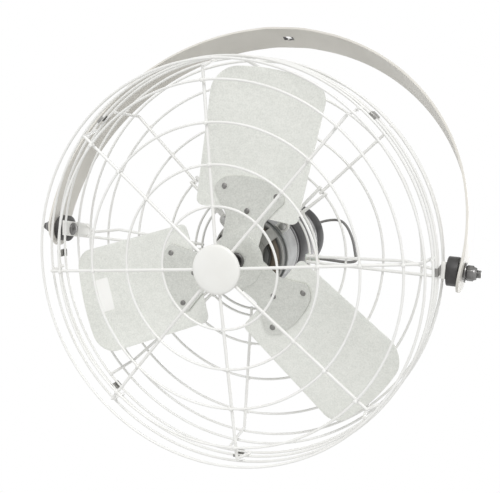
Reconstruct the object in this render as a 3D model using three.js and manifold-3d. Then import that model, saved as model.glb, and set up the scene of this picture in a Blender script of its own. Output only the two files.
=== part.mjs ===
// A guarded air circulator hung from a ceiling in a strap yoke.
// Millimetres, +Z up. The origin is the middle of the yoke's top face, at its
// mounting hole. The pivot axis runs along X and the fan blows towards -Y.
//
// Everything in the head is placed by its depth: the distance behind the plane
// of the front guard's spokes, measured along the fan's own axis (local +Y).

import * as THREE from 'three';
import { mergeVertices } from 'three/addons/utils/BufferGeometryUtils.js';
import Module from 'manifold-3d';

const wasm = await Module();
wasm.setup();

// ---------------------------------------------------------------- dimensions

const GAP = 0.3;                 // between pieces that seat on each other
const FIT = 0.15;                // radial gap of a bore on what is fixed in it
const RUN = 0.1;                 // radial gap of a bore on what turns in it

// wires along the cage's side, from whose middle most other sizes follow
const SIDE_RADIUS = 255;

// strap yoke, a bow of more than half a circle
const YOKE_CLEAR = 29.3;         // between those wires and the strap, middles
const YOKE_RADIUS = SIDE_RADIUS + YOKE_CLEAR;
const YOKE_THICK = 3;
const YOKE_WIDTH = 50.8;
const YOKE_RISE = 26;            // centre of the bow above the pivot axis
const YOKE_FLAT = 60;            // flat pad at the top
const YOKE_HOLE = 10.5;          // mounting hole

// head pose and pivot
const TILT = 27;                 // degrees, front down, as it hangs at rest
const PIVOT_DEPTH = 85;
const PIVOT_RISE = 13;           // pivot axis above the fan's own axis
const PIVOT_BOLT = 10;
const PLATE_THICK = 5;
const PLATE_HEIGHT = 21;
const PLATE_FRONT = 66;
const PLATE_REAR = 138;
const PLATE_FALL = 11;           // by which it falls from the pivot to its rear end
const SPACER_DIAMETER = 36;
const WASHER_DIAMETER = 24;
const WASHER_THICK = 2;
const NUT_FLATS = 17;
const NUT_HEX = 8;
const NUT_COLLAR = 4;
const BOLT_TAIL = 5;
const BOLT_HEAD_DIAMETER = 18;
const BOLT_HEAD = 4.5;

// guard wires
const SPOKE_WIRE = 4;
const RING_WIRE = 3.2;
const WELD_LAP = 0.75;           // depth to which crossing wires are welded in
const SPOKES = 8;
const BEND_RADIUS = 10;

// front guard
const FRONT_TURN = 7.5;          // degrees that its spokes stand off the pivot
const FRONT_RINGS = 4;
const FRONT_FIRST = 77;
const FRONT_LAST = SIDE_RADIUS - 25.6;
const FRONT_PITCH = (FRONT_LAST - FRONT_FIRST) / (FRONT_RINGS - 1);
const FRONT_EYE = 22;            // small ring that ties the spokes' inner ends
const FRONT_SIDE_RINGS = [30, 48];
const FRONT_SIDE_END = 50;
const DISC_DIAMETER = 62.5;
const DISC_PROUD = 9;
const DISC_SHEET = 1.2;

// rear guard
const REAR_DEPTH = 124;
const REAR_RINGS = 4;
const REAR_FIRST = 78;
const REAR_LAST = SIDE_RADIUS - 28.5;
const REAR_PITCH = (REAR_LAST - REAR_FIRST) / (REAR_RINGS - 1);
const MOTOR_RING = 88;           // second ring round the motor
const REAR_SIDE_RINGS = [96.5, 62];
const REAR_SIDE_END = 60;
const HAIRPIN_WIRE = 4.5;
const HAIRPIN_HALF = 5.6;        // half the distance between its two legs
const HAIRPIN_OUT = REAR_FIRST + REAR_PITCH + 4;
const BRACE_HALF = 3.6;
const BRACE_RISE = 12;           // height at which the upper one meets its plate
const BRACE_BEND = 52;           // last part of it, over which it rises
const BRACE_END = 12;            // and the straight part that ends it

// guard clips
const CLIPS = 8;
const CLIP_TURN = 3.75;          // degrees, between front and rear side wires
const CLIP_WIDTH = 10;
const CLIP_SHEET = 1.2;

// motor
const MOTOR_RADIUS = 49.5;
const MOTOR_WALL = 2;
const MOTOR_EDGE = 10;           // by which its end faces are rounded in
const BELL_FRONT = 92.7;
const BELL_LENGTH = 14;
const STATOR_FRONT = BELL_FRONT + BELL_LENGTH;
const STATOR_LENGTH = 54.5;
const STATOR_REAR = STATOR_FRONT + STATOR_LENGTH;
const STATOR_BORE = 30;
const AIR_GAP = 0.6;
const COIL_FRONT = 7;            // length of each winding overhang
const COIL_REAR = 14;
const BEAD_FROM = 6;             // groove round the shell, behind its front edge
const BEAD_WIDTH = 8;
const BEAD_DEEP = 1.2;
const SHELL_LENGTH = 92;
const SHELL_REAR = STATOR_REAR + SHELL_LENGTH;
const CAP_LENGTH = 40;
const CAP_REAR = SHELL_REAR + CAP_LENGTH;
const SHAFT_RADIUS = 6.35;
const SHAFT_TIP = 52.5;
const SHAFT_END = CAP_REAR - 10;
const BEARING_RADIUS = 14;
const BEARING_WIDTH = 9;
const BEARING_FRONT = BELL_FRONT + 2.5;
const BEARING_REAR = CAP_REAR - 21;
const CAPACITOR_RADIUS = 15;
const CAPACITOR_LENGTH = 50;
const CAPACITOR_FRONT = STATOR_REAR + COIL_REAR + 12;

// band and bolts that hold the motor in the rear guard's hairpins
const BAND_SHEET = 2;
const BAND_WIDTH = 8;
const EAR_RADIUS = MOTOR_RADIUS + 9.5;  // bolt circle
const EAR_WIDTH = 14;
const EAR_THICK = 3.4;
const MOUNT_BOLT = 5.8;

// propeller
const BLADES = 3;
const BLADE_FIRST = 81.5;        // degrees, direction of the upper blade
const BLADE_TIP = SIDE_RADIUS - 8.5;
const BLADE_ROOT = 61;
const BLADE_HALF_TIP = 73;       // half widths at the tip and at the root
const BLADE_HALF_ROOT = 66;
const BLADE_SHEET = 1.6;
const BLADE_CAMBER = 4;
const PITCH = 9;                 // degrees
const CORNER_TRAILING = 30;
const CORNER_LEADING = 20;
const CORNER_ROOT = 8;
const HUB_DEPTH = 62.5;
const SPIDER_SHEET = 2.5;
const SPIDER_DISC = 36;
const SPIDER_REACH = 109.5;
const SPIDER_NECK = 25;          // half width of an arm at the hub
const SPIDER_HALF = 45.5;         // half width of an arm at its end
const SPIDER_FLARE = 56;         // where an arm starts to widen
const SPIDER_CORNER = 15;
const TWIST_START = 24;          // distances from the axis between which an
const TWIST_END = 56;            // arm turns from flat to the full pitch
const COLLAR_RADIUS = 16;
const COLLAR_LENGTH = 20;
const SET_SCREW = 3;

// motor lead
const CORD = 5;
const GLAND_LENGTH = 20;
const GLAND_BASE = 6.5;
const GLAND_TIP = 4;
const GLAND_AT = [26, 15];       // across and up, on the end cap's rear face
const CONNECTOR = [18, 11, 10];  // across, deep, high
const CONNECTOR_AT = 80;         // across, its middle

// ------------------------------------------------------------------ finishes

const finish = (color, roughness, metalness) =>
  new THREE.MeshStandardMaterial({ color, roughness, metalness });

const POWDER_WHITE = finish(0xf1f1ec, 0.45, 0);
const YOKE_WHITE = finish(0xe4e2db, 0.5, 0);
const GALVANISED = finish(0xc6c9c1, 0.42, 0.75);
const MOTOR_BLACK = finish(0x1b1b1d, 0.4, 0.1);
const CORE_STEEL = finish(0x8c8e90, 0.45, 0.9);
const ZINC = finish(0xb9babb, 0.3, 0.95);
const DARK_STEEL = finish(0x39393b, 0.5, 0.8);
const COPPER = finish(0xb4683a, 0.4, 0.9);
const RUBBER = finish(0x19191a, 0.75, 0);
const NYLON = finish(0xe9e9e4, 0.4, 0);

// ------------------------------------------------------------ shape helpers

const rad = THREE.MathUtils.degToRad;
const polar = (radius, degrees) => [radius * Math.cos(rad(degrees)), radius * Math.sin(rad(degrees))];
const smooth = (x, from, to) => THREE.MathUtils.smoothstep(x, from, to);

// A closed mesh whose triangles share their corners and face outwards.
function closed(geometry) {
  const source = geometry.clone();
  source.deleteAttribute('normal');
  source.deleteAttribute('uv');
  const merged = mergeVertices(source, 1e-4);
  const at = merged.getAttribute('position');
  const old = merged.index.array;
  const corner = [0, 1, 2].map(() => new THREE.Vector3());
  const kept = [];
  let volume = 0;
  for (let i = 0; i < old.length; i += 3) {
    const [a, b, c] = [old[i], old[i + 1], old[i + 2]];
    if (a === b || b === c || c === a) continue;
    kept.push(a, b, c);
    [a, b, c].forEach((v, k) => corner[k].fromBufferAttribute(at, v));
    volume += corner[0].dot(corner[1].cross(corner[2]));
  }
  if (volume < 0) kept.reverse();
  merged.setIndex(kept);
  return merged;
}

function toSolid(geometry) {
  const mesh = closed(geometry);
  const vertProperties = new Float32Array(mesh.getAttribute('position').array);
  const triVerts = new Uint32Array(mesh.index.array);
  return new wasm.Manifold(new wasm.Mesh({ numProp: 3, vertProperties, triVerts }));
}

function fromSolid(solid) {
  const mesh = solid.getMesh();
  const geometry = new THREE.BufferGeometry();
  geometry.setAttribute('position', new THREE.BufferAttribute(new Float32Array(mesh.vertProperties), 3));
  geometry.setIndex([...mesh.triVerts]);
  return geometry;
}

const weld = (parts) => fromSolid(parts.map(toSolid).reduce((whole, part) => whole.add(part)));
const cut = (body, tools) => fromSolid(tools.map(toSolid).reduce((left, tool) => left.subtract(tool), toSolid(body)));

// A solid of revolution about the local Y axis, from [radius, depth] points.
function revolve(profile, segments) {
  const points = profile.map(([radius, depth]) => new THREE.Vector2(radius, depth));
  const onAxis = profile[0][0] === 0 && profile.at(-1)[0] === 0;
  if (!onAxis) points.push(points[0].clone());
  return new THREE.LatheGeometry(points, segments);
}

const tubeWall = (inner, outer, from, to) => [[inner, from], [outer, from], [outer, to], [inner, to]];

function rod(radius, from, to, segments) {
  const geometry = new THREE.CylinderGeometry(radius, radius, to - from, segments);
  return geometry.translate(0, (from + to) / 2, 0);
}

// A path through given stations, with a mitred joint at each of them.
class Stations extends THREE.Curve {
  constructor(points) {
    super();
    this.points = points;
  }

  getPoint(t, target = new THREE.Vector3()) {
    const along = t * (this.points.length - 1);
    const i = Math.min(Math.floor(along), this.points.length - 2);
    return target.lerpVectors(this.points[i], this.points[i + 1], along - i);
  }

  getPointAt(u, target) {
    return this.getPoint(u, target);
  }

  getTangentAt(u, target = new THREE.Vector3()) {
    const last = this.points.length - 1;
    const i = Math.round(u * last);
    const step = (j) => new THREE.Vector3().subVectors(this.points[j + 1], this.points[j]).normalize();
    const before = step(Math.max(i - 1, 0));
    const after = step(Math.min(i, last - 1));
    return target.addVectors(before, after).normalize();
  }
}

function roundSection(diameter, sides) {
  const corners = [];
  for (let i = 0; i < sides; i += 1) {
    const [x, y] = polar(diameter / 2, (360 * (i + 0.5)) / sides);
    corners.push(new THREE.Vector2(x, y));
  }
  return new THREE.Shape(corners);
}

const WIRE_SIDES = 5;
const RING_STEPS = 2;
const RING_STEP_RADIUS = 100;

function wire(points, diameter, sides = WIRE_SIDES) {
  const extrudePath = new Stations(points);
  return new THREE.ExtrudeGeometry(roundSection(diameter, sides), { steps: points.length - 1, extrudePath });
}

// A wire ring round the fan's axis. Its segment count follows its size and is a
// multiple of the spokes' number, so that each spoke meets it at a corner.
function ring(radius, depth, diameter = RING_WIRE) {
  const segments = SPOKES * Math.round(RING_STEPS + radius / RING_STEP_RADIUS);
  const geometry = new THREE.TorusGeometry(radius, diameter / 2, WIRE_SIDES, segments);
  return geometry.rotateX(Math.PI / 2).translate(0, depth, 0);
}

// Turns a piece made along +X to a direction seen from the front, +X to +Z.
const turned = (geometry, degrees) => geometry.rotateY(-rad(degrees));

const lap = (a, b) => (a + b) / 2 - WELD_LAP;

// A flat outline given across and up, made as a plate that is thick in depth.
function plate(shape, from, to) {
  const geometry = new THREE.ExtrudeGeometry(shape, { depth: to - from, bevelEnabled: false, curveSegments: 6 });
  return geometry.rotateX(Math.PI / 2).translate(0, to, 0);
}

// ---------------------------------------------------------------- assembling

const fan = new THREE.Group();
const head = new THREE.Group();
const PIVOT_Z = -(YOKE_RISE + YOKE_RADIUS + YOKE_THICK / 2);
const pivoted = new THREE.Group();
pivoted.position.set(0, 0, PIVOT_Z);
pivoted.rotation.x = rad(TILT);
head.position.set(0, -PIVOT_DEPTH, -PIVOT_RISE);
pivoted.add(head);
fan.add(pivoted);

function piece(name, geometry, material, parent = head) {
  const mesh = new THREE.Mesh(closed(geometry), material);
  mesh.name = name;
  mesh.geometry.computeVertexNormals();
  parent.add(mesh);
  return mesh;
}

// ---------------------------------------------------------------------- yoke

const BEND_SEGMENTS = 40;
const YOKE_INSIDE = YOKE_RADIUS - YOKE_THICK / 2;
const YOKE_OUTSIDE = YOKE_RADIUS + YOKE_THICK / 2;

// Distance of the strap's surface from the middle, at a height over the pivot.
const strapAt = (radius, height) => Math.sqrt(radius ** 2 - (YOKE_RISE - height) ** 2);

// One edge line of the strap in the X-Z plane, from the left end to the right.
function strapLine(radius, top) {
  const centre = PIVOT_Z + YOKE_RISE;
  const wrap = THREE.MathUtils.radToDeg(Math.asin((YOKE_RISE + YOKE_WIDTH / 2) / radius));
  const line = [];
  for (let i = 0; i <= BEND_SEGMENTS; i += 1) {
    const angle = 180 + wrap - ((180 + 2 * wrap) * i) / BEND_SEGMENTS;
    const [x, up] = polar(radius, angle);
    if (Math.abs(x) > YOKE_FLAT / 2) line.push([x, Math.min(centre + up, top)]);
    if (i === BEND_SEGMENTS / 2) line.push([-YOKE_FLAT / 2, top], [YOKE_FLAT / 2, top]);
  }
  return line;
}

function buildYoke() {
  const outer = strapLine(YOKE_OUTSIDE, 0);
  const inner = strapLine(YOKE_INSIDE, -YOKE_THICK).reverse();
  const side = new THREE.Shape([...outer, ...inner].map(([x, z]) => new THREE.Vector2(x, z)));
  const strap = new THREE.ExtrudeGeometry(side, { depth: YOKE_WIDTH, bevelEnabled: false });
  strap.rotateX(Math.PI / 2).translate(0, YOKE_WIDTH / 2, 0);

  const tools = [rod(YOKE_HOLE / 2, -YOKE_THICK * 2, YOKE_THICK * 2, 24).rotateX(Math.PI / 2)];
  const pivotHole = rod(PIVOT_BOLT / 2 + RUN, -YOKE_OUTSIDE - 5, YOKE_OUTSIDE + 5, 24);
  tools.push(pivotHole.rotateZ(Math.PI / 2).translate(0, 0, PIVOT_Z));

  // The strap's ends are cut to half rounds about the pivot.
  const half = YOKE_WIDTH / 2;
  const ends = new THREE.Shape();
  ends.moveTo(-half - 1, 0);
  ends.lineTo(-half, 0);
  ends.absarc(0, 0, half, Math.PI, 2 * Math.PI, false);
  ends.lineTo(half + 1, 0);
  ends.lineTo(half + 1, -half - 1);
  ends.lineTo(-half - 1, -half - 1);
  const span = 2 * YOKE_OUTSIDE + 10;
  const trim = new THREE.ExtrudeGeometry(ends, { depth: span, bevelEnabled: false, curveSegments: 12 });
  trim.translate(0, 0, -span / 2).rotateX(Math.PI / 2).rotateZ(Math.PI / 2);
  tools.push(trim.translate(0, 0, PIVOT_Z));
  piece('yoke', cut(strap, tools), YOKE_WHITE, fan);
}

// -------------------------------------------------------------------- pivots

const SIDE_RING_RADIUS = SIDE_RADIUS + lap(SPOKE_WIRE, RING_WIRE);
const PLATE_INSIDE = SIDE_RING_RADIUS + RING_WIRE / 2 + GAP;
const PLATE_OUTSIDE = PLATE_INSIDE + PLATE_THICK;
const STRAP_IN = strapAt(YOKE_INSIDE, -SPACER_DIAMETER / 2);
const WASHER_IN = strapAt(YOKE_OUTSIDE, WASHER_DIAMETER / 2) + GAP;
const NUT_IN = WASHER_IN + WASHER_THICK + GAP;

// Lays a piece that is made along +Y out along the pivot axis, to one side.
function toPivot(geometry, side) {
  return geometry.rotateZ((-side * Math.PI) / 2).translate(0, PIVOT_DEPTH, PIVOT_RISE);
}

function buildPivot(label, side) {
  const bolt = PIVOT_BOLT / 2;
  const holeTool = toPivot(rod(bolt + FIT, 0, YOKE_OUTSIDE, 20), side);

  const fall = PLATE_FALL / (PLATE_REAR - PIVOT_DEPTH);
  const middle = (depth) => PIVOT_RISE - fall * (depth - PIVOT_DEPTH);
  const outline = new THREE.Shape([
    [PLATE_FRONT, middle(PLATE_FRONT) - PLATE_HEIGHT / 2],
    [PLATE_REAR, middle(PLATE_REAR) - PLATE_HEIGHT / 2],
    [PLATE_REAR, middle(PLATE_REAR) + PLATE_HEIGHT / 2],
    [PLATE_FRONT, middle(PLATE_FRONT) + PLATE_HEIGHT / 2],
  ].map(([depth, up]) => new THREE.Vector2(depth, up)));
  const bar = new THREE.ExtrudeGeometry(outline, { depth: PLATE_THICK, bevelEnabled: false });
  bar.rotateY(Math.PI / 2).rotateX(Math.PI / 2).translate(side > 0 ? PLATE_INSIDE : -PLATE_OUTSIDE, 0, 0);
  piece(`pivot_plate_${label}`, cut(bar, [holeTool]), POWDER_WHITE);

  const tail = NUT_IN + NUT_HEX + NUT_COLLAR + BOLT_TAIL;
  const headIn = PLATE_INSIDE - GAP;
  const domed = [
    [0, headIn - BOLT_HEAD],
    [BOLT_HEAD_DIAMETER * 0.28, headIn - BOLT_HEAD * 0.85],
    [BOLT_HEAD_DIAMETER / 2, headIn - BOLT_HEAD * 0.25],
    [BOLT_HEAD_DIAMETER / 2, headIn],
    [bolt, headIn],
    [bolt, tail - 1],
    [bolt - 1, tail],
    [0, tail],
  ];
  piece(`pivot_bolt_${label}`, toPivot(revolve(domed, 20), side), ZINC);

  const spacerIn = PLATE_OUTSIDE + GAP;
  const spacerOut = STRAP_IN - GAP;
  const soft = 1.5;
  const half = SPACER_DIAMETER / 2;
  const spacer = [
    [bolt + FIT, spacerIn],
    [half - soft, spacerIn],
    [half, spacerIn + soft],
    [half, spacerOut - soft],
    [half - soft, spacerOut],
    [bolt + FIT, spacerOut],
  ];
  piece(`pivot_spacer_${label}`, toPivot(revolve(spacer, 24), side), RUBBER);

  const washer = tubeWall(bolt + FIT, WASHER_DIAMETER / 2, WASHER_IN, WASHER_IN + WASHER_THICK);
  piece(`pivot_washer_${label}`, toPivot(revolve(washer, 20), side), ZINC);

  const hexRadius = NUT_FLATS / 2 / Math.cos(Math.PI / 6);
  const hex = rod(hexRadius, NUT_IN, NUT_IN + NUT_HEX, 6);
  const collarGeometry = new THREE.CylinderGeometry(bolt + 1.8, NUT_FLATS / 2, NUT_COLLAR + 1, 20);
  collarGeometry.translate(0, NUT_IN + NUT_HEX + (NUT_COLLAR - 1) / 2, 0);
  const bore = rod(bolt + FIT, NUT_IN - 1, tail, 20);
  const nut = cut(weld([hex, collarGeometry]), [bore]);
  piece(`pivot_nut_${label}`, toPivot(nut, side), ZINC);
}

// -------------------------------------------------------------------- guards

// A spoke: straight along the face, bent at the rim, then along the side.
function spoke(inner, faceDepth, sideEnd) {
  const back = Math.sign(sideEnd - faceDepth);
  const points = [new THREE.Vector3(inner, faceDepth, 0)];
  const steps = 3;
  for (let i = 0; i <= steps; i += 1) {
    const [out, along] = polar(BEND_RADIUS, 90 - (90 * i) / steps);
    const radius = SIDE_RADIUS - BEND_RADIUS + out;
    points.push(new THREE.Vector3(radius, faceDepth + back * (BEND_RADIUS - along), 0));
  }
  points.push(new THREE.Vector3(SIDE_RADIUS, sideEnd, 0));
  return wire(points, SPOKE_WIRE);
}

// The ring that lies outside the spokes' bends.
function cornerRing(faceDepth, back) {
  const reach = (BEND_RADIUS + lap(SPOKE_WIRE, RING_WIRE)) * Math.SQRT1_2;
  return ring(SIDE_RADIUS - BEND_RADIUS + reach, faceDepth + back * (BEND_RADIUS - reach));
}

function buildFrontGuard() {
  const behind = lap(SPOKE_WIRE, RING_WIRE);
  const parts = [ring(FRONT_EYE, behind), cornerRing(0, 1)];
  for (let i = 0; i < FRONT_RINGS; i += 1) parts.push(ring(FRONT_FIRST + i * FRONT_PITCH, behind));
  for (const depth of FRONT_SIDE_RINGS) parts.push(ring(SIDE_RING_RADIUS, depth));
  for (let i = 0; i < SPOKES; i += 1) {
    parts.push(turned(spoke(FRONT_EYE - RING_WIRE, 0, FRONT_SIDE_END), (360 * i) / SPOKES));
  }
  piece('front_guard', turned(weld(parts), FRONT_TURN), POWDER_WHITE);

  const rim = DISC_DIAMETER / 2;
  const skirtEnd = -SPOKE_WIRE / 2 - GAP;
  const disc = [
    [0, -DISC_PROUD],
    [rim * 0.6, -DISC_PROUD + 0.7],
    [rim * 0.9, -DISC_PROUD + 2.2],
    [rim, -DISC_PROUD + 4.2],
    [rim, skirtEnd],
    [rim - DISC_SHEET, skirtEnd],
    [rim - DISC_SHEET, -DISC_PROUD + 4.6],
    [rim * 0.85, -DISC_PROUD + 3.4],
    [rim * 0.55, -DISC_PROUD + 2],
    [0, -DISC_PROUD + DISC_SHEET],
  ];
  piece('center_disc', revolve(disc, 28), POWDER_WHITE);
}

// A hairpin of heavier wire, whose closed end is the eye for a motor bolt.
function hairpin() {
  const leg = (z) => new THREE.Vector3(HAIRPIN_OUT, REAR_DEPTH, z);
  const points = [leg(HAIRPIN_HALF)];
  const steps = 5;
  for (let i = 0; i <= steps; i += 1) {
    const [x, z] = polar(HAIRPIN_HALF, 90 + (180 * i) / steps);
    points.push(new THREE.Vector3(EAR_RADIUS + x, REAR_DEPTH, z));
  }
  points.push(leg(-HAIRPIN_HALF));
  return wire(points, HAIRPIN_WIRE);
}

// One of the two rods that run from the motor's rings to a pivot plate, given
// by its heights: a straight one below, and above it one that rises at its end.
function braceRod(low, high) {
  const stop = PLATE_INSIDE - GAP;
  const stations = [
    [REAR_FIRST - RING_WIRE, low],
    [stop - BRACE_BEND, low],
    [stop - BRACE_END, high],
    [stop, high],
  ];
  return wire(stations.map(([x, z]) => new THREE.Vector3(x, REAR_DEPTH, z)), SPOKE_WIRE);
}

function buildRearGuard() {
  const behind = REAR_DEPTH + lap(SPOKE_WIRE, RING_WIRE);
  const parts = [ring(MOTOR_RING, behind), cornerRing(REAR_DEPTH, -1)];
  for (let i = 0; i < REAR_RINGS; i += 1) parts.push(ring(REAR_FIRST + i * REAR_PITCH, behind));
  for (const depth of REAR_SIDE_RINGS) parts.push(ring(SIDE_RING_RADIUS, depth));
  for (let i = 0; i < SPOKES; i += 1) {
    const angle = (360 * i) / SPOKES;
    const acrossPivot = angle % 180 === 0;
    const diagonal = i % 2 === 1;
    if (acrossPivot) {
      const up = angle === 0 ? 1 : -1;
      parts.push(turned(braceRod(up * BRACE_HALF, up * BRACE_RISE), angle));
      parts.push(turned(braceRod(-up * BRACE_HALF, -up * BRACE_HALF), angle));
    } else if (diagonal) {
      const inner = REAR_FIRST + REAR_PITCH - RING_WIRE;
      parts.push(turned(spoke(inner, REAR_DEPTH, REAR_SIDE_END), angle), turned(hairpin(), angle));
    } else {
      parts.push(turned(spoke(REAR_FIRST - RING_WIRE, REAR_DEPTH, REAR_SIDE_END), angle));
    }
  }
  piece('rear_guard', weld(parts), POWDER_WHITE);
}

// A clip whose two hooks hold the front guard's last ring to the rear guard's.
function buildClips() {
  const wireHalf = RING_WIRE / 2 + GAP;
  const from = FRONT_SIDE_RINGS.at(-1) - wireHalf;
  const to = REAR_SIDE_RINGS.at(-1) + wireHalf;
  const inside = SIDE_RING_RADIUS + wireHalf;
  const hook = SIDE_RING_RADIUS - RING_WIRE / 2;
  const outline = new THREE.Shape([
    [inside + CLIP_SHEET, from - CLIP_SHEET],
    [inside + CLIP_SHEET, to + CLIP_SHEET],
    [hook, to + CLIP_SHEET],
    [hook, to],
    [inside, to],
    [inside, from],
    [hook, from],
    [hook, from - CLIP_SHEET],
  ].map(([x, y]) => new THREE.Vector2(x, y)));
  for (let i = 0; i < CLIPS; i += 1) {
    const clip = new THREE.ExtrudeGeometry(outline, { depth: CLIP_WIDTH, bevelEnabled: false });
    clip.translate(0, 0, -CLIP_WIDTH / 2);
    piece(`guard_clip_${i + 1}`, turned(clip, CLIP_TURN + (360 * i) / CLIPS), DARK_STEEL);
  }
}

// --------------------------------------------------------------------- motor

const TURN_SEGMENTS = 24;

function buildMotorHousing() {
  const outside = MOTOR_RADIUS;
  const inside = MOTOR_RADIUS - MOTOR_WALL;
  const seat = BEARING_RADIUS + FIT;
  const boss = seat + 3;
  const bellRear = STATOR_FRONT - GAP;
  const bell = [
    [SHAFT_RADIUS + 2, BELL_FRONT],
    [outside - MOTOR_EDGE, BELL_FRONT],
    [outside - MOTOR_EDGE * 0.3, BELL_FRONT + MOTOR_EDGE * 0.3],
    [outside, BELL_FRONT + MOTOR_EDGE * 0.8],
    [outside, bellRear],
    [inside, bellRear],
    [inside, BELL_FRONT + MOTOR_EDGE],
    [inside - MOTOR_EDGE * 0.3, BELL_FRONT + MOTOR_EDGE * 0.5],
    [inside - MOTOR_EDGE, BELL_FRONT + MOTOR_WALL],
    [boss, BELL_FRONT + MOTOR_WALL],
    [boss, BEARING_FRONT + BEARING_WIDTH],
    [seat, BEARING_FRONT + BEARING_WIDTH],
    [seat, BEARING_FRONT - GAP],
    [SHAFT_RADIUS + 2, BEARING_FRONT - GAP],
  ];
  piece('motor_front_bell', revolve(bell, TURN_SEGMENTS), MOTOR_BLACK);

  const shellFront = STATOR_REAR + GAP;
  const beadFront = shellFront + BEAD_FROM;
  const beadRear = beadFront + BEAD_WIDTH;
  const shell = [
    [inside, shellFront],
    [outside, shellFront],
    [outside, beadFront],
    [outside - BEAD_DEEP, beadFront + BEAD_DEEP],
    [outside - BEAD_DEEP, beadRear - BEAD_DEEP],
    [outside, beadRear],
    [outside, SHELL_REAR - GAP],
    [inside, SHELL_REAR - GAP],
  ];
  piece('motor_rear_shell', revolve(shell, TURN_SEGMENTS), MOTOR_BLACK);

  const seatRear = BEARING_REAR + BEARING_WIDTH + GAP;
  const cap = [
    [0, CAP_REAR],
    [outside - MOTOR_EDGE, CAP_REAR],
    [outside - MOTOR_EDGE * 0.3, CAP_REAR - MOTOR_EDGE * 0.3],
    [outside, CAP_REAR - MOTOR_EDGE],
    [outside, SHELL_REAR],
    [inside, SHELL_REAR],
    [inside, CAP_REAR - MOTOR_EDGE],
    [inside - MOTOR_EDGE, CAP_REAR - MOTOR_WALL],
    [boss, CAP_REAR - MOTOR_WALL],
    [boss, BEARING_REAR],
    [seat, BEARING_REAR],
    [seat, seatRear],
    [SHAFT_RADIUS + 2, seatRear],
    [SHAFT_RADIUS + 2, CAP_REAR - MOTOR_WALL],
    [0, CAP_REAR - MOTOR_WALL],
  ];
  piece('motor_end_cap', revolve(cap, TURN_SEGMENTS), MOTOR_BLACK);
}

function buildMotorInside() {
  const outside = MOTOR_RADIUS;
  const core = tubeWall(STATOR_BORE, outside, STATOR_FRONT, STATOR_REAR);
  piece('stator_core', revolve(core, TURN_SEGMENTS), CORE_STEEL);

  const overhang = (from, to) => {
    const mid = (from + to) / 2;
    return [
      [STATOR_BORE + 3, from],
      [outside - 6, from],
      [outside - 5, mid],
      [outside - 8, to],
      [STATOR_BORE + 5, to],
      [STATOR_BORE + 2, mid],
    ];
  };
  const frontCoil = overhang(STATOR_FRONT - GAP, STATOR_FRONT - COIL_FRONT);
  const rearCoil = overhang(STATOR_REAR + GAP, STATOR_REAR + COIL_REAR);
  piece('winding_front', revolve(frontCoil, 20), COPPER);
  piece('winding_rear', revolve(rearCoil, 20), COPPER);

  const race = (front) => tubeWall(SHAFT_RADIUS + RUN, BEARING_RADIUS, front, front + BEARING_WIDTH);
  piece('bearing_front', revolve(race(BEARING_FRONT), 20), ZINC);
  piece('bearing_rear', revolve(race(BEARING_REAR), 20), ZINC);

  const can = rod(CAPACITOR_RADIUS, CAPACITOR_FRONT, CAPACITOR_FRONT + CAPACITOR_LENGTH, 20);
  const wallGap = 2;
  piece('run_capacitor', can.translate(0, 0, outside - MOTOR_WALL - wallGap - CAPACITOR_RADIUS), DARK_STEEL);
}

function buildMotorRotor() {
  const rotorRadius = STATOR_BORE - AIR_GAP;
  const cage = rotorRadius - 7;
  const from = STATOR_FRONT + 1;
  const to = STATOR_REAR - 1;
  const core = [
    [SHAFT_RADIUS + FIT, from],
    [cage, from],
    [cage, from - 3],
    [rotorRadius - 1, from - 3],
    [rotorRadius - 1, from],
    [rotorRadius, from],
    [rotorRadius, to],
    [rotorRadius - 1, to],
    [rotorRadius - 1, to + 3],
    [cage, to + 3],
    [cage, to],
    [SHAFT_RADIUS + FIT, to],
  ];
  piece('rotor_core', revolve(core, 24), CORE_STEEL);

  const shaft = [
    [0, SHAFT_TIP],
    [SHAFT_RADIUS - 1, SHAFT_TIP],
    [SHAFT_RADIUS, SHAFT_TIP + 1],
    [SHAFT_RADIUS, SHAFT_END],
    [0, SHAFT_END],
  ];
  piece('motor_shaft', revolve(shaft, 20), ZINC);
}

// Four ears on a band round the stator take the bolts through the hairpins.
function buildMotorMount() {
  const earRear = REAR_DEPTH - HAIRPIN_WIRE / 2 - GAP;
  const bandInside = MOTOR_RADIUS + GAP;
  const bandOutside = bandInside + BAND_SHEET;
  const band = revolve(tubeWall(bandInside, bandOutside, earRear - BAND_WIDTH, earRear), TURN_SEGMENTS);
  const half = EAR_WIDTH / 2;
  const ear = new THREE.Shape();
  ear.moveTo(bandOutside - 1, -half);
  ear.lineTo(EAR_RADIUS, -half);
  ear.absarc(EAR_RADIUS, 0, half, -Math.PI / 2, Math.PI / 2, false);
  ear.lineTo(bandOutside - 1, half);
  const ears = [];
  const holes = [];
  const boltRadius = MOUNT_BOLT / 2;
  for (let i = 0; i < 4; i += 1) {
    const angle = 45 + 90 * i;
    ears.push(turned(plate(ear, earRear - EAR_THICK, earRear), angle));
    const hole = rod(boltRadius + GAP, earRear - BAND_WIDTH, earRear + 1, 12);
    holes.push(turned(hole.translate(EAR_RADIUS, 0, 0), angle));
  }
  piece('motor_band', cut(weld([band, ...ears]), holes), ZINC);

  const headRadius = MOUNT_BOLT * 0.95;
  const headRear = earRear - EAR_THICK - GAP;
  const nutFront = REAR_DEPTH + HAIRPIN_WIRE / 2 + GAP;
  const profile = [
    [0, headRear - 4],
    [headRadius, headRear - 4],
    [headRadius, headRear],
    [boltRadius, headRear],
    [boltRadius, nutFront],
    [headRadius + 1.2, nutFront],
    [headRadius + 1.2, nutFront + 1.2],
    [headRadius, nutFront + 1.2],
    [headRadius, nutFront + 6],
    [boltRadius, nutFront + 6],
    [boltRadius, nutFront + 9],
    [0, nutFront + 9],
  ];
  for (let i = 0; i < 4; i += 1) {
    const bolt = revolve(profile, 6).translate(EAR_RADIUS, 0, 0);
    piece(`mount_bolt_${i + 1}`, turned(bolt, 45 + 90 * i), ZINC);
  }
}

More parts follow.
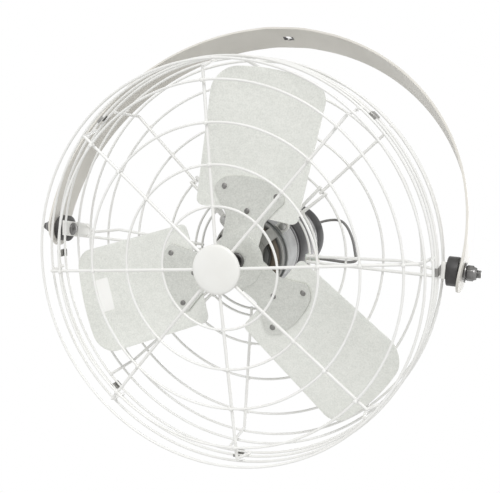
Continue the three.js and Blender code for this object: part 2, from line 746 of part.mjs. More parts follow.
// ----------------------------------------------------------------- propeller

// Depth of the pressed sheet at a place given along (u) and across (v) a blade.
function pressed(u, v) {
  const across = v / BLADE_HALF_TIP;
  const camber = BLADE_CAMBER * Math.max(1 - across * across, 0);
  return smooth(Math.hypot(u, v), TWIST_START, TWIST_END) * (camber - Math.tan(rad(PITCH)) * v);
}

// Moves the points of a flat piece, with u along X and v along Z, onto it.
function press(geometry, depth) {
  const at = geometry.getAttribute('position');
  for (let i = 0; i < at.count; i += 1) {
    at.setY(i, at.getY(i) + depth + pressed(at.getX(i), at.getZ(i)));
  }
  return geometry;
}

// How far a rounded corner pulls the edge in, at a distance from the end.
function cornerPull(toEnd, radius) {
  const into = THREE.MathUtils.clamp(radius - toEnd, 0, radius);
  return radius - Math.sqrt(radius * radius - into * into);
}

// A sheet whose two long edges and round end are given as functions.
function sheet({ root, reach, edge, thick, rows, columns }) {
  const geometry = new THREE.BoxGeometry(1, thick, 2, rows, 1, columns);
  const at = geometry.getAttribute('position');
  for (let i = 0; i < at.count; i += 1) {
    const share = at.getX(i) + 0.5;
    const along = 1 - (1 - share) ** 1.8;
    const side = at.getZ(i);
    const u = root + along * (reach - root);
    const v = edge(u, Math.sign(side)) * Math.abs(side) + edge(u, 0) * (1 - Math.abs(side));
    const tip = Math.sqrt(Math.max(reach * reach - v * v, 0));
    at.setX(i, root + along * (tip - root));
    at.setZ(i, v);
  }
  return geometry;
}

function bladeEdge(u, side) {
  const corner = side > 0 ? CORNER_TRAILING : CORNER_LEADING;
  const pull = cornerPull(BLADE_TIP - u, corner) + cornerPull(u - BLADE_ROOT, CORNER_ROOT);
  const half = THREE.MathUtils.mapLinear(u, BLADE_ROOT, BLADE_TIP, BLADE_HALF_ROOT, BLADE_HALF_TIP);
  return side * (half - pull);
}

function armEdge(u, side) {
  const flare = THREE.MathUtils.clamp((u - SPIDER_FLARE) / (SPIDER_REACH - SPIDER_CORNER - SPIDER_FLARE), 0, 1);
  const half = SPIDER_NECK + (SPIDER_HALF - SPIDER_NECK) * flare;
  return side * (half - cornerPull(SPIDER_REACH - u, SPIDER_CORNER));
}

function buildPropeller() {
  const slope = 1 / Math.cos(rad(PITCH));
  const spiderThick = SPIDER_SHEET * slope;
  const bladeThick = BLADE_SHEET * slope;
  const bladeDepth = HUB_DEPTH + (spiderThick + bladeThick) / 2 + GAP * slope;

  const inner = SPIDER_DISC / 2;
  const armForm = { root: inner, reach: SPIDER_REACH, edge: armEdge, thick: spiderThick, rows: 10, columns: 4 };
  const bladeForm = { root: BLADE_ROOT, reach: BLADE_TIP, edge: bladeEdge, thick: bladeThick, rows: 10, columns: 6 };
  const parts = [rod(SPIDER_DISC, HUB_DEPTH - spiderThick / 2, HUB_DEPTH + spiderThick / 2, 32)];
  for (let i = 0; i < BLADES; i += 1) {
    const angle = BLADE_FIRST + (360 * i) / BLADES;
    parts.push(turned(press(sheet(armForm), HUB_DEPTH), angle));
    piece(`blade_${i + 1}`, turned(press(sheet(bladeForm), bladeDepth), angle), GALVANISED);
  }
  const bore = rod(SHAFT_RADIUS + FIT, HUB_DEPTH - 10, HUB_DEPTH + 10, 20);
  piece('spider', cut(weld(parts), [bore]), GALVANISED);

  const collarFront = HUB_DEPTH + spiderThick / 2 + GAP;
  const collarRear = collarFront + COLLAR_LENGTH;
  const collar = revolve([
    [SHAFT_RADIUS + FIT, collarFront],
    [COLLAR_RADIUS, collarFront],
    [COLLAR_RADIUS, collarRear - 2],
    [COLLAR_RADIUS - 2, collarRear],
    [SHAFT_RADIUS + FIT, collarRear],
  ], 24);
  const middle = (collarFront + collarRear) / 2;
  const radial = (radius, from, to) => rod(radius, from, to, 12).rotateZ(-Math.PI / 2).translate(0, middle, 0);
  piece('hub_collar', cut(collar, [radial(SET_SCREW + FIT, 0, COLLAR_RADIUS + 5)]), DARK_STEEL);
  piece('set_screw', radial(SET_SCREW, SHAFT_RADIUS + GAP, COLLAR_RADIUS - 1), DARK_STEEL);
}

// ---------------------------------------------------------------- motor lead

// The lead's middle line, across, deep and up, from the gland to the connector.
const CORD_ROUTE = [
  [26, 313.8, 15],
  [26.6, 321, 15.8],
  [30.5, 330, 17.8],
  [38, 336, 20],
  [47.5, 337.3, 21.8],
  [57, 333.5, 22.6],
  [65, 325, 22.4],
  [74, 310, 21.2],
  [84, 291, 18.4],
  [94, 269, 14.8],
  [104, 245, 10.6],
  [113.5, 219, 6],
  [122, 194, 1.8],
  [129, 172, -1],
  [132.6, 158, -1.9],
  [130.5, 146, -1.8],
  [122.5, 137.6, -1.2],
  [111, 134.6, -0.4],
  [99, 134.6, 0],
  [89.6, 134.6, 0],
];

function buildLead() {
  const [across, up] = GLAND_AT;
  const root = CAP_REAR + GAP;
  const gland = revolve([
    [0, root],
    [GLAND_BASE + 2, root],
    [GLAND_BASE + 2, root + 3],
    [GLAND_BASE, root + 3.5],
    [GLAND_TIP, root + GLAND_LENGTH],
    [0, root + GLAND_LENGTH],
  ], 16);
  piece('cord_gland', gland.translate(across, 0, up), RUBBER);

  const curve = new THREE.CatmullRomCurve3(CORD_ROUTE.map((point) => new THREE.Vector3(...point)));
  const steps = Math.round(curve.getLength() / (CORD * 2.4));
  const lead = new THREE.ExtrudeGeometry(roundSection(CORD, 8), { steps, extrudePath: curve });
  piece('motor_cord', lead, RUBBER);

  const [width, deep, high] = CONNECTOR;
  const behindRings = REAR_DEPTH + lap(SPOKE_WIRE, RING_WIRE) + RING_WIRE / 2 + GAP;
  const corner = 2;
  const face = new THREE.Shape();
  face.moveTo(-width / 2, -high / 2 + corner);
  face.lineTo(-width / 2, high / 2 - corner);
  face.lineTo(-width / 2 + corner, high / 2);
  face.lineTo(width / 2 - corner, high / 2);
  face.lineTo(width / 2, high / 2 - corner);
  face.lineTo(width / 2, -high / 2 + corner);
  face.lineTo(width / 2 - corner, -high / 2);
  face.lineTo(-width / 2 + corner, -high / 2);
  const block = plate(face, behindRings, behindRings + deep);
  piece('cord_connector', block.translate(CONNECTOR_AT, 0, 0), NYLON);
}

// --------------------------------------------------------------------- build

buildYoke();
buildPivot('left', -1);
buildPivot('right', 1);
buildFrontGuard();
buildRearGuard();
buildClips();
buildMotorHousing();
buildMotorInside();
buildMotorMount();
buildMotorRotor();
buildPropeller();
buildLead();

export default fan;
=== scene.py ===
"""Looks of a guarded air circulator that hangs in a strap yoke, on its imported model."""

import logging
import math
from dataclasses import dataclass, field
from enum import Enum
from typing import Callable, Iterable, Sequence

import bmesh
import bpy
from mathutils import Matrix, Vector


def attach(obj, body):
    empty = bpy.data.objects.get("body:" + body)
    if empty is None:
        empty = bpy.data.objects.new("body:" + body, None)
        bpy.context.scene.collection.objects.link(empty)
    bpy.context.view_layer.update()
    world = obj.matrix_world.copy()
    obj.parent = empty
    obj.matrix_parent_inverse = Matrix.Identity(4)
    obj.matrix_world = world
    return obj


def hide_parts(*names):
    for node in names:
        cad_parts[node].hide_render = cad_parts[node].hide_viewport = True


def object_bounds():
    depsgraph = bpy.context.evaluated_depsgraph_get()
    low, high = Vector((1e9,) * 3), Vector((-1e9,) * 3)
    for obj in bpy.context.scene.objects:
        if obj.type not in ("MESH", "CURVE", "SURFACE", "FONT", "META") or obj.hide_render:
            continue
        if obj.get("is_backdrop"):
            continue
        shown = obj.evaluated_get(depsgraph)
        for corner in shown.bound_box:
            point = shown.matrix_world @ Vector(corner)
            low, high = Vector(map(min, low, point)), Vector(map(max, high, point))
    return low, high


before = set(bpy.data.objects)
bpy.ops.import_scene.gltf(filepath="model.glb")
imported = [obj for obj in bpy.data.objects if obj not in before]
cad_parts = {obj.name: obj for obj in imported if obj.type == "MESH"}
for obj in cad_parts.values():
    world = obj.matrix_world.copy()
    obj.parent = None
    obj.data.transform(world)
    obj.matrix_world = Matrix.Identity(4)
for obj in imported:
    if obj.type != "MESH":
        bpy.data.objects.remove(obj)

log = logging.getLogger("circulator")
MM = 0.001
WAVE_LENGTH = 0.314  # Metres from line to line of a wave texture whose scale is 1.
WHITE = (1.0, 1.0, 1.0, 1.0)
Profile = Sequence[tuple[float, float]]


class Body(Enum):
    """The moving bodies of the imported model."""

    YOKE = "yoke"
    HEAD = "head"
    ROTOR = "rotor"


class Side(Enum):
    """The two ends of the pivot axis, seen from the front."""

    LEFT = -1
    RIGHT = 1


# ------------------------------------------------------------------- node groups


def new_group(name: str, inputs: dict[str, float], outputs: dict[str, str]) -> bpy.types.ShaderNodeTree:
    """Makes an empty shader group with its sockets.

    Args:
        name: Name of the group.
        inputs: Float inputs and their values.
        outputs: Outputs and their socket types.

    Returns:
        The group, with one Group Input and one Group Output node.
    """
    group = bpy.data.node_groups.new(name, "ShaderNodeTree")
    for label, value in inputs.items():
        socket = group.interface.new_socket(name=label, in_out="INPUT", socket_type="NodeSocketFloat")
        socket.default_value = value
    for label, kind in outputs.items():
        group.interface.new_socket(name=label, in_out="OUTPUT", socket_type=kind)
    group.nodes.new("NodeGroupInput").name = "in"
    group.nodes.new("NodeGroupOutput").name = "out"
    return group


def math_node(tree: bpy.types.NodeTree, operation: str, *values: object) -> bpy.types.NodeSocket:
    """Adds a Math node.

    Args:
        tree: The node tree that it goes into.
        operation: The node's operation.
        values: Its inputs in order, each a number or the socket that feeds it.

    Returns:
        The node's output.
    """
    node = tree.nodes.new("ShaderNodeMath")
    node.operation = operation
    for socket, value in zip(node.inputs, values):
        if isinstance(value, bpy.types.NodeSocket):
            tree.links.new(value, socket)
        else:
            socket.default_value = value
    return node.outputs[0]


def noise_node(
    tree: bpy.types.NodeTree, at: bpy.types.NodeSocket, scale: object, detail: float
) -> bpy.types.NodeSocket:
    """Adds a noise texture and returns its value.

    Args:
        tree: The node tree that it goes into.
        at: The coordinates that it reads.
        scale: Its scale per metre, a number or a socket.
        detail: Its detail.

    Returns:
        The value, from 0 to 1.
    """
    node = tree.nodes.new("ShaderNodeTexNoise")
    node.inputs["Detail"].default_value = detail
    tree.links.new(at, node.inputs["Vector"])
    if isinstance(scale, bpy.types.NodeSocket):
        tree.links.new(scale, node.inputs["Scale"])
    else:
        node.inputs["Scale"].default_value = scale
    return node.outputs["Fac"]


def patch_group() -> bpy.types.ShaderNodeTree:
    """Soft uneven patches, for handled and dusty paint."""
    group = new_group("patches", {"Scale": 12.0, "Amount": 0.5}, {"Mask": "NodeSocketFloat"})
    at = group.nodes.new("ShaderNodeTexCoord").outputs["Object"]
    value = noise_node(group, at, group.nodes["in"].outputs["Scale"], 5.0)
    spread = math_node(group, "MULTIPLY_ADD", value, 2.6, -0.8)
    held = math_node(group, "MULTIPLY", spread, group.nodes["in"].outputs["Amount"])
    node = group.nodes.new("ShaderNodeClamp")
    group.links.new(held, node.inputs["Value"])
    group.links.new(node.outputs[0], group.nodes["out"].inputs["Mask"])
    return group


def grain_group() -> bpy.types.ShaderNodeTree:
    """Fine grain with a coarser ripple under it, as a height."""
    group = new_group("grain", {"Scale": 900.0, "Ripple": 0.4}, {"Height": "NodeSocketFloat"})
    at = group.nodes.new("ShaderNodeTexCoord").outputs["Object"]
    scale = group.nodes["in"].outputs["Scale"]
    fine = noise_node(group, at, scale, 2.0)
    coarse = noise_node(group, at, math_node(group, "MULTIPLY", scale, 0.22), 1.0)
    both = math_node(group, "MULTIPLY_ADD", coarse, group.nodes["in"].outputs["Ripple"], fine)
    group.links.new(both, group.nodes["out"].inputs["Height"])
    return group


def edge_group() -> bpy.types.ShaderNodeTree:
    """Rubbed convex edges, broken up by noise."""
    group = new_group("rubbed_edges", {"From": 0.53, "To": 0.6}, {"Mask": "NodeSocketFloat"})
    at = group.nodes.new("ShaderNodeTexCoord").outputs["Object"]
    point = group.nodes.new("ShaderNodeNewGeometry").outputs["Pointiness"]
    ramp = group.nodes.new("ShaderNodeMapRange")
    group.links.new(point, ramp.inputs["Value"])
    group.links.new(group.nodes["in"].outputs["From"], ramp.inputs["From Min"])
    group.links.new(group.nodes["in"].outputs["To"], ramp.inputs["From Max"])
    broken = math_node(group, "MULTIPLY", ramp.outputs[0], noise_node(group, at, 160.0, 4.0))
    group.links.new(broken, group.nodes["out"].inputs["Mask"])
    return group


GROUPS: dict[str, bpy.types.ShaderNodeTree] = {}


def shared_group(name: str) -> bpy.types.ShaderNodeTree:
    """Returns one of the shared groups, which is built on its first use."""
    makers: dict[str, Callable[[], bpy.types.ShaderNodeTree]] = {
        "patches": patch_group,
        "grain": grain_group,
        "edges": edge_group,
    }
    if name not in GROUPS:
        GROUPS[name] = makers[name]()
    return GROUPS[name]


# ----------------------------------------------------------------------- finishes


def linear(colour: tuple[float, float, float]) -> tuple[float, float, float, float]:
    """Turns a colour written as 0-255 screen values into linear light with alpha."""
    steps = [c / 255.0 for c in colour]
    light = [c / 12.92 if c <= 0.04045 else ((c + 0.055) / 1.055) ** 2.4 for c in steps]
    return (light[0], light[1], light[2], 1.0)


class Surface:
    """A material under construction, with one Principled shader."""

    def __init__(self, name: str) -> None:
        """Starts a material with that name."""
        self.material = bpy.data.materials.new(name)
        self.material.use_nodes = True
        self.tree = self.material.node_tree
        self.shader = self.tree.nodes["Principled BSDF"]
        self.place = self.tree.nodes.new("ShaderNodeTexCoord").outputs["Object"]

    def plain(self, **values: float) -> None:
        """Sets constants on the shader's own sockets, named with underscores for spaces."""
        for label, value in values.items():
            self.shader.inputs[label.replace("_", " ")].default_value = value

    def group(self, name: str, output: str, **values: float) -> bpy.types.NodeSocket:
        """Places a shared group with its own values and returns one output."""
        node = self.tree.nodes.new("ShaderNodeGroup")
        node.node_tree = shared_group(name)
        for label, value in values.items():
            node.inputs[label].default_value = value
        return node.outputs[output]

    def mix(self, factor: bpy.types.NodeSocket, first: object, second: object) -> bpy.types.NodeSocket:
        """Mixes two colours, each written as screen values or given as a socket."""
        node = self.tree.nodes.new("ShaderNodeMix")
        node.data_type = "RGBA"
        self.tree.links.new(factor, node.inputs["Factor"])
        for socket, colour in ((node.inputs[6], first), (node.inputs[7], second)):
            if isinstance(colour, bpy.types.NodeSocket):
                self.tree.links.new(colour, socket)
            else:
                socket.default_value = linear(colour)
        return node.outputs[2]

    def span(self, value: bpy.types.NodeSocket, low: float, high: float) -> bpy.types.NodeSocket:
        """Spreads a value of 0 to 1 over another range."""
        node = self.tree.nodes.new("ShaderNodeMapRange")
        node.inputs["To Min"].default_value = low
        node.inputs["To Max"].default_value = high
        self.tree.links.new(value, node.inputs["Value"])
        return node.outputs[0]

    def feed(self, label: str, value: bpy.types.NodeSocket) -> None:
        """Feeds a socket of the shader."""
        self.tree.links.new(value, self.shader.inputs[label])

    def bump(self, height: bpy.types.NodeSocket, strength: float, depth: float) -> None:
        """Adds a bump; depth is in metres."""
        node = self.tree.nodes.new("ShaderNodeBump")
        node.inputs["Strength"].default_value = strength
        node.inputs["Distance"].default_value = depth
        self.tree.links.new(height, node.inputs["Height"])
        self.tree.links.new(node.outputs[0], self.shader.inputs["Normal"])

    def cover(
        self, factor: bpy.types.NodeSocket, under: bpy.types.Node, over: bpy.types.Node
    ) -> bpy.types.Node:
        """Lays one shader over another.

        Args:
            factor: How much of the upper shader shows, from 0 to 1.
            under: The lower shader.
            over: The upper shader.

        Returns:
            The node that mixes them.
        """
        node = self.tree.nodes.new("ShaderNodeMixShader")
        for socket, value in zip(node.inputs, (factor, under.outputs[0], over.outputs[0])):
            self.tree.links.new(value, socket)
        return node


MADE: dict[object, bpy.types.Material] = {}


@dataclass(frozen=True)
class Finish:
    """A finish of the circulator, made into a material once."""

    name: str

    def build(self, surface: Surface) -> None:
        """Fills in the material's nodes."""
        raise NotImplementedError

    def material(self) -> bpy.types.Material:
        """Returns the material, built on first use."""
        if self not in MADE:
            surface = Surface(self.name)
            self.build(surface)
            MADE[self] = surface.material
        return MADE[self]


@dataclass(frozen=True)
class PowderCoat(Finish):
    """Baked powder paint: slight orange peel, soiled a little, rubbed at its edges."""

    colour: tuple[int, int, int] = (240, 240, 236)
    soiled: tuple[int, int, int] = (218, 216, 208)
    rubbed: tuple[int, int, int] = (196, 195, 190)
    roughness: float = 0.38
    peel: float = 650.0
    relief: float = 0.03

    def build(self, surface: Surface) -> None:
        """Fills in the material's nodes."""
        surface.plain(Coat_Roughness=0.22, Coat_Weight=0.25, Specular_IOR_Level=0.5)
        patches = surface.group("patches", "Mask", Scale=14.0, Amount=0.55)
        edges = surface.group("edges", "Mask", From=0.54, To=0.66)
        paint = surface.mix(patches, self.colour, self.soiled)
        surface.feed("Base Color", surface.mix(edges, paint, self.rubbed))
        surface.feed("Roughness", surface.span(patches, self.roughness, self.roughness + 0.14))
        surface.bump(surface.group("grain", "Height", Scale=self.peel, Ripple=0.8), self.relief, 0.0002)


@dataclass(frozen=True)
class Spangled(Finish):
    """Zinc-coated sheet: faint crystals of different greys, and rolling marks."""

    light: tuple[int, int, int] = (247, 248, 243)
    dark: tuple[int, int, int] = (218, 220, 214)
    crystal: float = 210.0

    def build(self, surface: Surface) -> None:
        """Fills in the material's nodes."""
        surface.plain(Metallic=0.35, Specular_IOR_Level=0.4)
        cells = surface.tree.nodes.new("ShaderNodeTexVoronoi")
        cells.inputs["Scale"].default_value = self.crystal
        surface.tree.links.new(surface.place, cells.inputs["Vector"])
        bright = surface.tree.nodes.new("ShaderNodeSeparateColor")
        surface.tree.links.new(cells.outputs["Color"], bright.inputs[0])
        patches = surface.group("patches", "Mask", Scale=7.0, Amount=0.5)
        speckle = surface.group("patches", "Mask", Scale=520.0, Amount=0.5)
        spangle = math_node(surface.tree, "MULTIPLY_ADD", bright.outputs[0], 0.2, speckle)
        shade = math_node(surface.tree, "MULTIPLY_ADD", patches, 0.5, spangle)
        surface.feed("Base Color", surface.mix(shade, self.light, self.dark))
        surface.feed("Roughness", surface.span(bright.outputs[1], 0.36, 0.5))
        surface.bump(surface.group("grain", "Height", Scale=1400.0, Ripple=0.3), 0.12, 0.0002)


@dataclass(frozen=True)
class Enamel(Finish):
    """Black motor enamel: slightly rippled, with a film of pale dust."""

    colour: tuple[int, int, int] = (34, 33, 35)
    dust: tuple[int, int, int] = (78, 76, 75)
    roughness: float = 0.3
    shine: float = 0.35
    rubbed: tuple[int, int, int] = (150, 149, 147)

    def build(self, surface: Surface) -> None:
        """Fills in the material's nodes."""
        surface.plain(Specular_IOR_Level=self.shine)
        patches = surface.group("patches", "Mask", Scale=26.0, Amount=0.3)
        edges = surface.group("edges", "Mask", From=0.52, To=0.6)
        paint = surface.mix(patches, self.colour, self.dust)
        surface.feed("Base Color", surface.mix(edges, paint, self.rubbed))
        surface.feed("Roughness", surface.span(patches, self.roughness, self.roughness + 0.2))
        surface.bump(surface.group("grain", "Height", Scale=420.0, Ripple=1.0), 0.25, 0.0004)


@dataclass(frozen=True)
class Plated(Finish):
    """Plated or oiled steel hardware, with faint tooling marks and dull patches."""

    colour: tuple[int, int, int] = (196, 196, 194)
    dull: tuple[int, int, int] = (150, 150, 148)
    roughness: float = 0.28

    def build(self, surface: Surface) -> None:
        """Fills in the material's nodes."""
        surface.plain(Metallic=0.9)
        patches = surface.group("patches", "Mask", Scale=90.0, Amount=0.7)
        surface.feed("Base Color", surface.mix(patches, self.colour, self.dull))
        surface.feed("Roughness", surface.span(patches, self.roughness, self.roughness + 0.22))
        surface.bump(surface.group("grain", "Height", Scale=2200.0, Ripple=0.4), 0.12, 0.0002)


@dataclass(frozen=True)
class Laminated(Finish):
    """A stack of thin sheets, or wound wire: fine lines across the motor's axis."""

    light: tuple[int, int, int] = (164, 165, 164)
    dark: tuple[int, int, int] = (120, 121, 120)
    pitch: float = 0.0016
    metallic: float = 0.5
    tilt: float = 27.0

    def build(self, surface: Surface) -> None:
        """Fills in the material's nodes."""
        surface.plain(Metallic=self.metallic, Specular_IOR_Level=0.4)
        level = surface.tree.nodes.new("ShaderNodeMapping")
        level.inputs["Rotation"].default_value = (-math.radians(self.tilt), 0.0, 0.0)
        surface.tree.links.new(surface.place, level.inputs["Vector"])
        lines = surface.tree.nodes.new("ShaderNodeTexWave")
        lines.bands_direction = "Y"
        lines.inputs["Scale"].default_value = WAVE_LENGTH / self.pitch
        lines.inputs["Distortion"].default_value = 0.6
        lines.inputs["Detail Scale"].default_value = 2.0
        surface.tree.links.new(level.outputs[0], lines.inputs["Vector"])
        patches = surface.group("patches", "Mask", Scale=40.0, Amount=0.6)
        ruled = math_node(surface.tree, "MULTIPLY", lines.outputs["Fac"], 0.45)
        shade = math_node(surface.tree, "MULTIPLY_ADD", patches, 0.5, ruled)
        surface.feed("Base Color", surface.mix(shade, self.light, self.dark))
        surface.feed("Roughness", surface.span(patches, 0.38, 0.55))
        surface.bump(lines.outputs["Fac"], 0.25, 0.0003)


@dataclass(frozen=True)
class Rubber(Finish):
    """Matt black rubber or cable sheath with a dry bloom."""

    colour: tuple[int, int, int] = (44, 43, 43)
    bloom: tuple[int, int, int] = (92, 91, 90)
    roughness: float = 0.48

    def build(self, surface: Surface) -> None:
        """Fills in the material's nodes."""
        surface.plain(Specular_IOR_Level=0.5)
        patches = surface.group("patches", "Mask", Scale=70.0, Amount=0.6)
        surface.feed("Base Color", surface.mix(patches, self.colour, self.bloom))
        surface.feed("Roughness", surface.span(patches, self.roughness, self.roughness + 0.2))
        surface.bump(surface.group("grain", "Height", Scale=1500.0, Ripple=0.5), 0.2, 0.0002)


@dataclass(frozen=True)
class Moulded(Finish):
    """Moulded white nylon, a little translucent, with a fine texture."""

    colour: tuple[int, int, int] = (236, 236, 230)
    shade: tuple[int, int, int] = (214, 213, 204)

    def build(self, surface: Surface) -> None:
        """Fills in the material's nodes."""
        surface.plain(Subsurface_Weight=0.12, Subsurface_Scale=0.003, Specular_IOR_Level=0.5)
        patches = surface.group("patches", "Mask", Scale=60.0, Amount=0.5)
        surface.feed("Base Color", surface.mix(patches, self.colour, self.shade))
        surface.feed("Roughness", surface.span(patches, 0.34, 0.5))
        surface.bump(surface.group("grain", "Height", Scale=1800.0, Ripple=0.3), 0.15, 0.0002)


WIRE_PAINT = PowderCoat("wire_powder_coat", (246, 246, 244), (234, 233, 229), (240, 239, 236))
GUARD_PAINT = PowderCoat("guard_powder_coat", (248, 248, 245), (232, 231, 226), (214, 213, 208))
# The yoke's paint is the white powder coat made darker and greyer: painted shade for a strap that hangs in
# shade.
SHADED_YOKE_PAINT = PowderCoat("yoke_powder_coat_shaded", (227, 224, 217), (206, 203, 195), (214, 212, 205), 0.5,
                        peel=520.0, relief=0.01)
SHEET_ZINC = Spangled("zinc_coated_sheet")
# The spider's zinc is a darker copy of the blades' zinc: painted shade for the hub and arm roots, which lie
# in the shadow of the disc and the wires.
SHADED_SPIDER_ZINC = Spangled("zinc_coated_spider_shaded", (229, 230, 225), (194, 196, 190), 210.0)
# The rivets' colour is darker than the sheet: partly their own grey steel, partly painted shade round the
# rivet heads.
RIVET_STEEL_AND_SHADE = Plated("rivet_steel_and_shade", (150, 149, 147), (112, 111, 109), 0.42)
MOTOR_ENAMEL = Enamel("motor_enamel", roughness=0.36, shine=0.28)
CAP_ENAMEL = Enamel("cap_enamel", (22, 22, 23), (40, 39, 40), 0.45, 0.18)
ZINC = Plated("zinc_plating")
SHAFT = Plated("ground_shaft", (112, 111, 110), (74, 73, 72), 0.24)
DARK_STEEL = Plated("oiled_steel", (118, 117, 116), (80, 79, 78), 0.36)
PIVOT_STEEL = Plated("pivot_steel", (142, 141, 140), (92, 91, 90), 0.24)
CLIP_STEEL = Plated("clip_steel", (172, 171, 168), (128, 127, 124), 0.36)
CAST = Enamel("cast_bracket", (170, 170, 166), (196, 195, 190), 0.42)
CORE = Laminated("core_laminations")
WINDING = Laminated("varnished_winding", (118, 108, 96), (88, 78, 67), 0.0012, 0.2)
CAN = Plated("capacitor_can", (120, 121, 124), (84, 85, 88), 0.34)
SPACER = Rubber("spacer_rubber", (44, 43, 43), (80, 79, 78), 0.34)
SHEATH = Rubber("cable_sheath", (110, 109, 108), (146, 144, 141), 0.5)
NYLON = Moulded("connector_nylon")
PAPER = PowderCoat("label_paper", (253, 253, 251), (247, 246, 242), (247, 246, 242), 0.6, 900.0)


# ------------------------------------------------------------------ mesh building


@dataclass(frozen=True)
class Frames:
    """Where the part's frames lie: the yoke is in the row frame, the head is tilted."""

    tilt: float = 27.0
    pivot: tuple[float, float, float] = (0.0, 0.0, -311.8)
    pivot_in_head: tuple[float, float, float] = (0.0, 85.0, 13.0)

    def fixed(self) -> Matrix:
        """Millimetres of the row frame, in metres."""
        return Matrix.Scale(MM, 4)

    def head(self) -> Matrix:
        """Millimetres of the fan's own frame, in metres of the row frame."""
        swing = Matrix.Rotation(math.radians(self.tilt), 4, "X")
        back = Matrix.Translation(-Vector(self.pivot_in_head))
        return Matrix.Scale(MM, 4) @ Matrix.Translation(Vector(self.pivot)) @ swing @ back

    def point(self, at: Sequence[float]) -> Vector:
        """A point of the fan's own frame, in metres of the row frame."""
        return self.head() @ Vector(at)

    def along_pivot(self, side: Side) -> Matrix:
        """Lays what is made along +Y out along the pivot axis, in the fan's frame."""
        outwards = Matrix.Rotation(-side.value * math.pi / 2, 4, "Z")
        return Matrix.Translation(Vector(self.pivot_in_head)) @ outwards


FRAMES = Frames()


def turned(degrees: float) -> Matrix:
    """Turns what is made along +X to a direction seen from the front, +X to +Z."""
    return Matrix.Rotation(-math.radians(degrees), 4, "Y")


def smooth_step(share: float) -> float:
    """Eases a share of 0 to 1, so that it starts and ends level."""
    return share * share * (3 - 2 * share)


def edges_of(verts: Iterable[bmesh.types.BMVert]) -> list[bmesh.types.BMEdge]:
    """The edges that join these vertices."""
    inside = set(verts)
    return [e for e in {e for v in inside for e in v.link_edges} if all(v in inside for v in e.verts)]


def merged(bm: bmesh.types.BMesh) -> bmesh.types.BMesh:
    """Merges doubles and turns the faces outwards."""
    bmesh.ops.remove_doubles(bm, verts=bm.verts, dist=1e-4)
    bmesh.ops.recalc_face_normals(bm, faces=bm.faces)
    return bm


def soften(bm: bmesh.types.BMesh, width: float, angle: float = 40.0, segments: int = 2) -> bmesh.types.BMesh:
    """Rounds the edges that are sharper than an angle.

    Args:
        bm: The closed mesh.
        width: Width of the rounding.
        angle: Least angle between the two faces, in degrees.
        segments: Number of faces across the rounding.

    Returns:
        The same mesh.
    """
    limit = math.radians(angle)
    sharp = [e for e in bm.edges if len(e.link_faces) == 2 and e.calc_face_angle(0.0) > limit]
    bmesh.ops.bevel(bm, geom=sharp, offset=width, segments=segments, profile=0.5, affect="EDGES",
                    clamp_overlap=True, material=-1)
    return bm


def revolve(profile: Profile, steps: int = 64, closed: bool = True) -> bmesh.types.BMesh:
    """Spins a profile round the Y axis.

    Args:
        profile: Radius and depth of each corner.
        steps: Segments of a full turn.
        closed: Whether the last corner joins the first where neither is on the axis.

    Returns:
        A new mesh.
    """
    bm = bmesh.new()
    corners = [bm.verts.new((radius, depth, 0.0)) for radius, depth in profile]
    lines = [bm.edges.new(pair) for pair in zip(corners, corners[1:])]
    if closed and not (profile[0][0] == 0.0 and profile[-1][0] == 0.0):
        lines.append(bm.edges.new((corners[-1], corners[0])))
    bmesh.ops.spin(bm, geom=corners + lines, cent=(0, 0, 0), axis=(0, 1, 0), dvec=(0, 0, 0),
                   angle=2 * math.pi, steps=steps, use_merge=True)
    return merged(bm)


def rounded(points: Sequence[Vector], radius: float, steps: int = 6) -> list[Vector]:
    """Rounds the corners of a line of points.

    Args:
        points: The line's corners.
        radius: Radius of each rounding.
        steps: Number of parts in each rounding.

    Returns:
        The points of the rounded line.
    """
    path = [points[0].copy()]
    for before, corner, after in zip(points, points[1:], points[2:]):
        back, on = (before - corner).normalized(), (after - corner).normalized()
        half = back.angle(on) / 2
        centre = corner + (back + on).normalized() * (radius / math.sin(half))
        start = corner + back * (radius / math.tan(half)) - centre
        end = corner + on * (radius / math.tan(half)) - centre
        for i in range(steps + 1):
            station = centre + start.slerp(end, i / steps)
            if (station - path[-1]).length > 1e-3:
                path.append(station)
    path.append(points[-1].copy())
    return path


def sweep(
    bm: bmesh.types.BMesh, path: Sequence[Vector], wire: float, sides: int
) -> list[bmesh.types.BMVert]:
    """Draws a round wire along a path, with closed ends.

    Args:
        bm: The mesh that it is added to.
        path: Its middle line.
        wire: Its diameter.
        sides: Number of faces round it.

    Returns:
        The new vertices.
    """
    steps = [(b - a).normalized() for a, b in zip(path, path[1:])]
    headings = [steps[0], *((a + b).normalized() for a, b in zip(steps, steps[1:])), steps[-1]]
    start = Matrix.Translation(path[0]) @ headings[0].to_track_quat("Z", "X").to_matrix().to_4x4()
    section = bmesh.ops.create_circle(bm, cap_ends=True, segments=sides, radius=wire / 2,
                                      matrix=start)["verts"]
    made = list(section)
    rim = edges_of(section)
    for i in range(1, len(path)):
        grown = bmesh.ops.extrude_edge_only(bm, edges=rim)["geom"]
        section = [g for g in grown if isinstance(g, bmesh.types.BMVert)]
        rim = edges_of(section)
        turn = headings[i - 1].rotation_difference(headings[i]).to_matrix().to_4x4()
        move = Matrix.Translation(path[i]) @ turn @ Matrix.Translation(-path[i - 1])
        bmesh.ops.transform(bm, matrix=move, verts=section)
        made += section
    bmesh.ops.contextual_create(bm, geom=rim)
    return made


def hoop(
    bm: bmesh.types.BMesh, radius: float, depth: float, wire: float, sides: int, steps: int
) -> None:
    """Adds a wire ring round the fan's axis.

    Args:
        bm: The mesh that it is added to.
        radius: Radius of its middle line.
        depth: Its depth along the axis.
        wire: Its diameter.
        sides: Number of faces round the wire.
        steps: Number of segments round the ring.
    """
    place = Matrix.Translation((radius, depth, 0.0))
    section = bmesh.ops.create_circle(bm, cap_ends=False, segments=sides, radius=wire / 2,
                                      matrix=place)["verts"]
    bmesh.ops.spin(bm, geom=section + edges_of(section), cent=(0, 0, 0), axis=(0, 1, 0), dvec=(0, 0, 0),
                   angle=2 * math.pi, steps=steps, use_merge=True)


